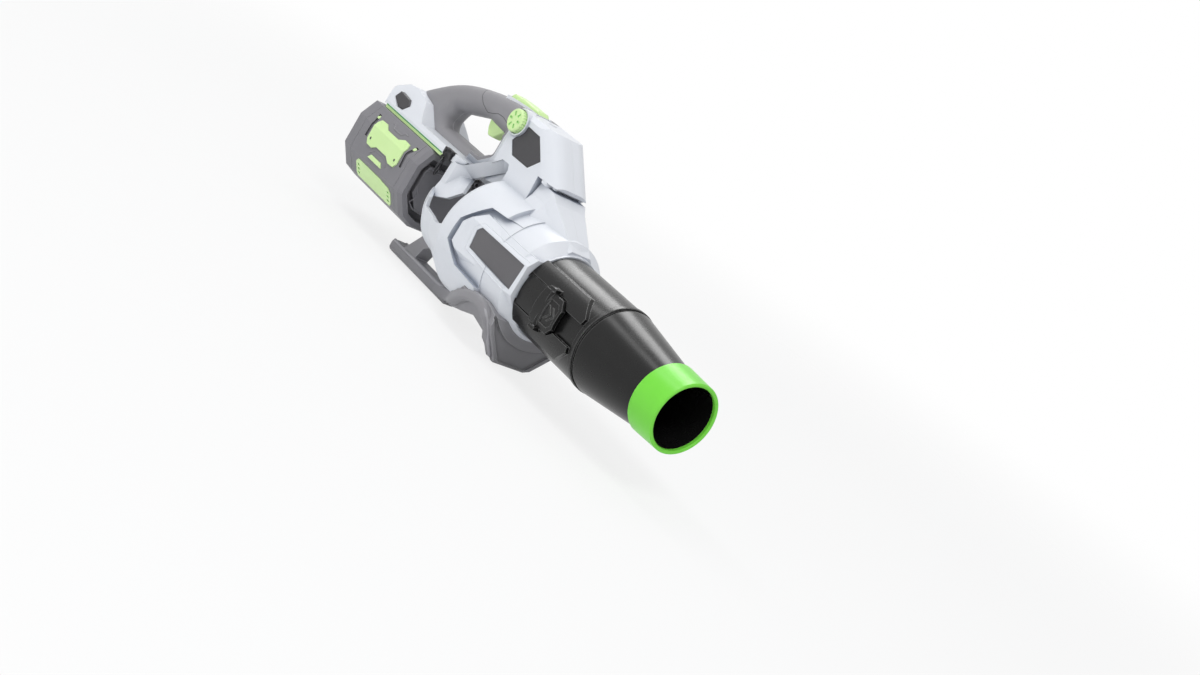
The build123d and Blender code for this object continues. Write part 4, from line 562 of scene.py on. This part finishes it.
# Stand: the rounded bar, and the rails that part from it and climb round the duct
standLook = {"railSquare": 0.5, "edgeMm": 2.4, "steps": 5}
barLine = [  # x, z, half width, half height
    (-307, -88.3, 7, 5.5), (-305.5, -88.3, 10.5, 7), (-302, -88.2, 11.8, 7.6), (-240, -88.2, 11.8, 7.6),
    (-196, -88.2, 11.8, 7.6), (-184, -87.8, 11, 7.2), (-172, -86.6, 8.5, 5.5)]
railLine = [  # x, y, z, radius
    (-196, 3.5, -88.2, 7), (-178, 5, -87, 7.3), (-160, 8.5, -84, 7.4), (-142, 14.5, -79.5, 7.5),
    (-125, 26, -74.5, 7.5), (-110, 38, -70, 7.3), (-96, 48, -65.5, 7), (-83, 55.5, -59, 6.8),
    (-71, 60, -52.5, 6.6), (-58, 62.5, -46.5, 6.4), (-44, 63, -43, 6.3), (-31, 62, -43.5, 6.2),
    (-22, 59, -49, 6), (-19, 53, -57, 5.8), (-18, 47, -65, 5.6), (-18, 41, -72.5, 5.5),
    (-18, 34, -80.5, 5.3), (-19, 26, -89, 5)]
edgeLine = [  # x, y, z
    (-303, 9, -82.2), (-240, 9, -82), (-196, 9, -82), (-178, 9.5, -81.6), (-160, 12, -79.2),
    (-142, 18, -75), (-125, 29, -70), (-110, 41, -65.6), (-96, 51, -61), (-83, 58.3, -54.8),
    (-71, 62.8, -48.4), (-58, 65.2, -42.4), (-44, 65.8, -39), (-31, 65, -39.6), (-20, 62.6, -46),
    (-16, 56.6, -55), (-14.5, 50, -65), (-14.5, 44, -73.5), (-14.5, 37, -82), (-15.5, 29.5, -90)]
beam("stand_bar", [(at(x, 0, z), wide, high) for x, z, wide, high in barLine], greyNylon, "housing")
for side, hand in hands:
    knots = smoothed([Vector((x, side * y, z, radius)) for x, y, z, radius in railLine], standLook["steps"])
    stations = [(at(x, y, z), radius, radius) for x, y, z, radius in knots]
    beam("stand_rail_" + hand, stations, greyNylon, "housing", square=standLook["railSquare"])
    # Painted highlight: a paler bead along each rail's upper edge
    litEdge = smoothed([Vector((x, side * y, z)) for x, y, z in edgeLine], standLook["steps"])
    bead("stand_edge_" + hand, [at(*knot) for knot in litEdge], standLook["edgeMm"], paleLitNylon, "housing")
print("stand rails ready")

# Pods: a fine raised rim round each panel and a crisp ridge along the upper bevel
podLook = {
    "rimMm": 0.7, "sink": 0.0002, "stepMm": 3.0, "outY": 90,
    "rim": [(-5, 26.5), (-90.8, 28), (-100.5, 18.8), (-97, -7.6), (-8, -16)],
    "ridge": [(-6, 33.2), (-50, 34.6), (-96, 37.0)]}
for side, hand in hands:
    for label in ("rim", "ridge"):
        corners = [at(x, side * podLook["outY"], z) for x, z in podLook[label]]
        path = laidOn("housing_" + hand, spread(corners, podLook["stepMm"]), (0, -side, 0), podLook["sink"])
        bead("pod_" + label + "_" + hand, path, podLook["rimMm"], whiteAbs, "housing")
print("pod rims ready")

# Under the post's lip a set-back strip closes most of the slot, with two snap hooks in front of it
lipLook = {
    "x": -87.0, "z": 98.0, "half": 31.0, "taper": 2, "ends": (4.0, 1.8), "middle": (5.0, 2.8),
    "hookY": 20, "hookZ": 98.2,
    "hook": [(-80, 1.6, 1.0), (-79, 2.4, 1.7), (-75, 2.4, 1.7), (-74, 1.4, 0.9)]}  # x and half sizes
inner = lipLook["half"] - lipLook["taper"]
strip = [(-lipLook["half"], lipLook["ends"]), (-inner, lipLook["middle"]), (inner, lipLook["middle"]),
         (lipLook["half"], lipLook["ends"])]
beam("lip_strip", [(at(lipLook["x"], y, lipLook["z"]), *halves) for y, halves in strip], whiteAbs, "housing")
for side, hand in hands:
    hook = [(at(x, side * lipLook["hookY"], lipLook["hookZ"]), wide, high)
            for x, wide, high in lipLook["hook"]]
    beam("lip_hook_" + hand, hook, whiteAbs, "housing")
print("lip strip and hooks ready")

# Seams of the grip, laid on its skin
seamLook = {
    "radiusMm": 0.35, "stepMm": 2.5, "outY": 60,
    "ring": [(-292, 137), (-284, 128), (-274, 121), (-262, 116)],
    "guard": [(-262, 116), (-250, 119), (-238, 123.5), (-226, 124), (-214, 121)]}
for side, hand in hands:
    for label in ("ring", "guard"):
        corners = [at(x, side * seamLook["outY"], z) for x, z in seamLook[label]]
        seam = laidOn("grip_" + hand, spread(corners, seamLook["stepMm"]), (0, -side, 0))
        bead("grip_" + label + "_seam_" + hand, seam, seamLook["radiusMm"], innerNylon, "housing")
print("seams ready")


# Is 1 for a ray that shows the surroundings: straight to the eye, mirrored or through glass
def showingRay(tree):
    ray = put(tree, "ShaderNodeLightPath")
    mirrored = put(tree, "ShaderNodeMath", {0: ray.outputs["Is Camera Ray"], 1: ray.outputs["Is Glossy Ray"]},
                   operation="MAXIMUM")
    through = put(tree, "ShaderNodeMath", {
        0: mirrored.outputs["Value"], 1: ray.outputs["Is Transmission Ray"]}, operation="MAXIMUM")
    return through.outputs["Value"]


# Pale floor that fades into a white backdrop
floorLook = {"colour": "#F4F5F6", "fibre": "#F0F1F2", "fibreMm": 3, "radius": 3.5, "sides": 96,
             "fadeStart": 0.7, "fadeEnd": 2.2, "below": 0.0006, "glow": "#FFFFFF", "white": 0.8}
floorMesh = bpy.data.meshes.new("floor")
disc = bmesh.new()
bmesh.ops.create_circle(disc, cap_ends=True, radius=floorLook["radius"], segments=floorLook["sides"])
disc.to_mesh(floorMesh)
disc.free()
floor = bpy.data.objects.new("floor", floorMesh)
floor.location = (0, 0, -floorLook["below"])
scene.collection.objects.link(floor)
paper = bpy.data.materials.new("paperFloor")
paperTree = emptyTree(paper)
paperPlace = put(paperTree, "ShaderNodeTexCoord").outputs["Object"]
away = put(paperTree, "ShaderNodeVectorMath", {0: paperPlace}, operation="LENGTH")
fade = put(paperTree, "ShaderNodeMapRange", {
    "Value": away.outputs["Value"], "From Min": floorLook["fadeStart"], "From Max": floorLook["fadeEnd"]},
    interpolation_type="SMOOTHSTEP")
fibre = put(paperTree, "ShaderNodeTexNoise", {"Vector": paperPlace, "Scale": perMetre(floorLook["fibreMm"])})
matt = put(paperTree, "ShaderNodeMix", {
    "Factor": fibre.outputs["Fac"], colourA: tone(floorLook["colour"]), colourB: tone(floorLook["fibre"])},
    data_type="RGBA")
diffuse = put(paperTree, "ShaderNodeBsdfDiffuse", {"Color": matt.outputs[mixedColour]})
share = put(paperTree, "ShaderNodeMath", {0: showingRay(paperTree), 1: floorLook["white"]},
            operation="MULTIPLY")
glow = put(paperTree, "ShaderNodeEmission", {"Color": tone(floorLook["glow"]), "Strength": 1.0})
lifted = put(paperTree, "ShaderNodeMixShader", {
    0: share.outputs["Value"], 1: diffuse.outputs["BSDF"], 2: glow.outputs["Emission"]})
clear = put(paperTree, "ShaderNodeBsdfTransparent")
mixed = put(paperTree, "ShaderNodeMixShader", {
    0: fade.outputs["Result"], 1: lifted.outputs["Shader"], 2: clear.outputs["BSDF"]})
put(paperTree, "ShaderNodeOutputMaterial", {"Surface": mixed.outputs["Shader"]})
floorMesh.materials.append(paper)
print("floor ready")

# White surroundings for the eye and for reflections, gentler as light
skyLook = {"colour": "#FFFFFF", "light": 0.42}
world = bpy.data.worlds.new("studio")
scene.world = world
skyTree = emptyTree(world)
skyLevel = put(skyTree, "ShaderNodeMapRange", {
    "Value": showingRay(skyTree), "To Min": skyLook["light"], "To Max": 1.0})
sky = put(skyTree, "ShaderNodeBackground", {
    "Color": tone(skyLook["colour"]), "Strength": skyLevel.outputs["Result"]})
put(skyTree, "ShaderNodeOutputWorld", {"Surface": sky.outputs["Background"]})

# Soft boxes: a key above the front, a long one, a sheen that only reflections see, a top one and a low fill
lamps = {
    "keyBox": {"spot": (1.4, -0.9, 2.0), "aim": (-0.05, 0, 0.12), "wide": 0.8, "deep": 0.8, "power": 17},
    "longBox": {"spot": (-1.0, -0.85, 2.0), "aim": (0.0, 0, 0.1), "wide": 2.4, "deep": 0.4, "power": 13},
    "sheenBox": {"spot": (-1.2, 0.5, 2.0), "aim": (0.2, 0, 0.1), "wide": 1.6, "deep": 0.9, "power": 34,
                 "diffuse": False},
    "topBox": {"spot": (-0.5, 0.8, 2.1), "aim": (-0.1, 0, 0.12), "wide": 1.2, "deep": 1.2, "power": 5},
    "fillBox": {"spot": (0.5, -2.2, 0.5), "aim": (-0.1, 0, 0.1), "wide": 1.2, "deep": 0.8, "power": 8}}
for name, lamp in lamps.items():
    light = bpy.data.lights.new(name, "AREA")
    light.shape = "RECTANGLE"
    light.size = lamp["wide"]
    light.size_y = lamp["deep"]
    light.energy = lamp["power"]
    lampObject = bpy.data.objects.new(name, light)
    shine = (Vector(lamp["aim"]) - Vector(lamp["spot"])).normalized()
    across = (Vector((1, 0, 0)) - shine * shine.x).normalized()
    turnedTo = Matrix((across, (-shine).cross(across), -shine)).transposed()
    lampObject.matrix_world = Matrix.Translation(lamp["spot"]) @ turnedTo.to_4x4()
    lampObject.visible_diffuse = lamp.get("diffuse", True)
    scene.collection.objects.link(lampObject)
print("lamps ready:", len(lamps))

# The camera stands at the front right, a little above, and leans with the blower's nose down
viewpoint = {"around": 46.28, "above": 11.0, "lean": 31.68, "spot": at(1387.8, -1242.2, 351.9),
             "lens": 51.72, "sensor": 36, "nearest": 0.01, "farthest": 50}
around, above, lean = (math.radians(viewpoint[key]) for key in ("around", "above", "lean"))
back = Vector((math.sin(around) * math.cos(above), -math.cos(around) * math.cos(above), math.sin(above)))
level = Vector((math.cos(around), math.sin(around), 0))
rise = back.cross(level)
sideways = math.cos(lean) * level + math.sin(lean) * rise
upward = -math.sin(lean) * level + math.cos(lean) * rise
cameraData = bpy.data.cameras.new("camera")
cameraData.sensor_width = viewpoint["sensor"]
cameraData.lens = viewpoint["lens"]
cameraData.clip_start = viewpoint["nearest"]
cameraData.clip_end = viewpoint["farthest"]
camera = bpy.data.objects.new("camera", cameraData)
turned = Matrix((sideways, upward, back)).transposed()
camera.matrix_world = Matrix.Translation(viewpoint["spot"]) @ turned.to_4x4()
scene.collection.objects.link(camera)
scene.camera = camera
scene.view_settings.view_transform = "Standard"
print("camera ready")
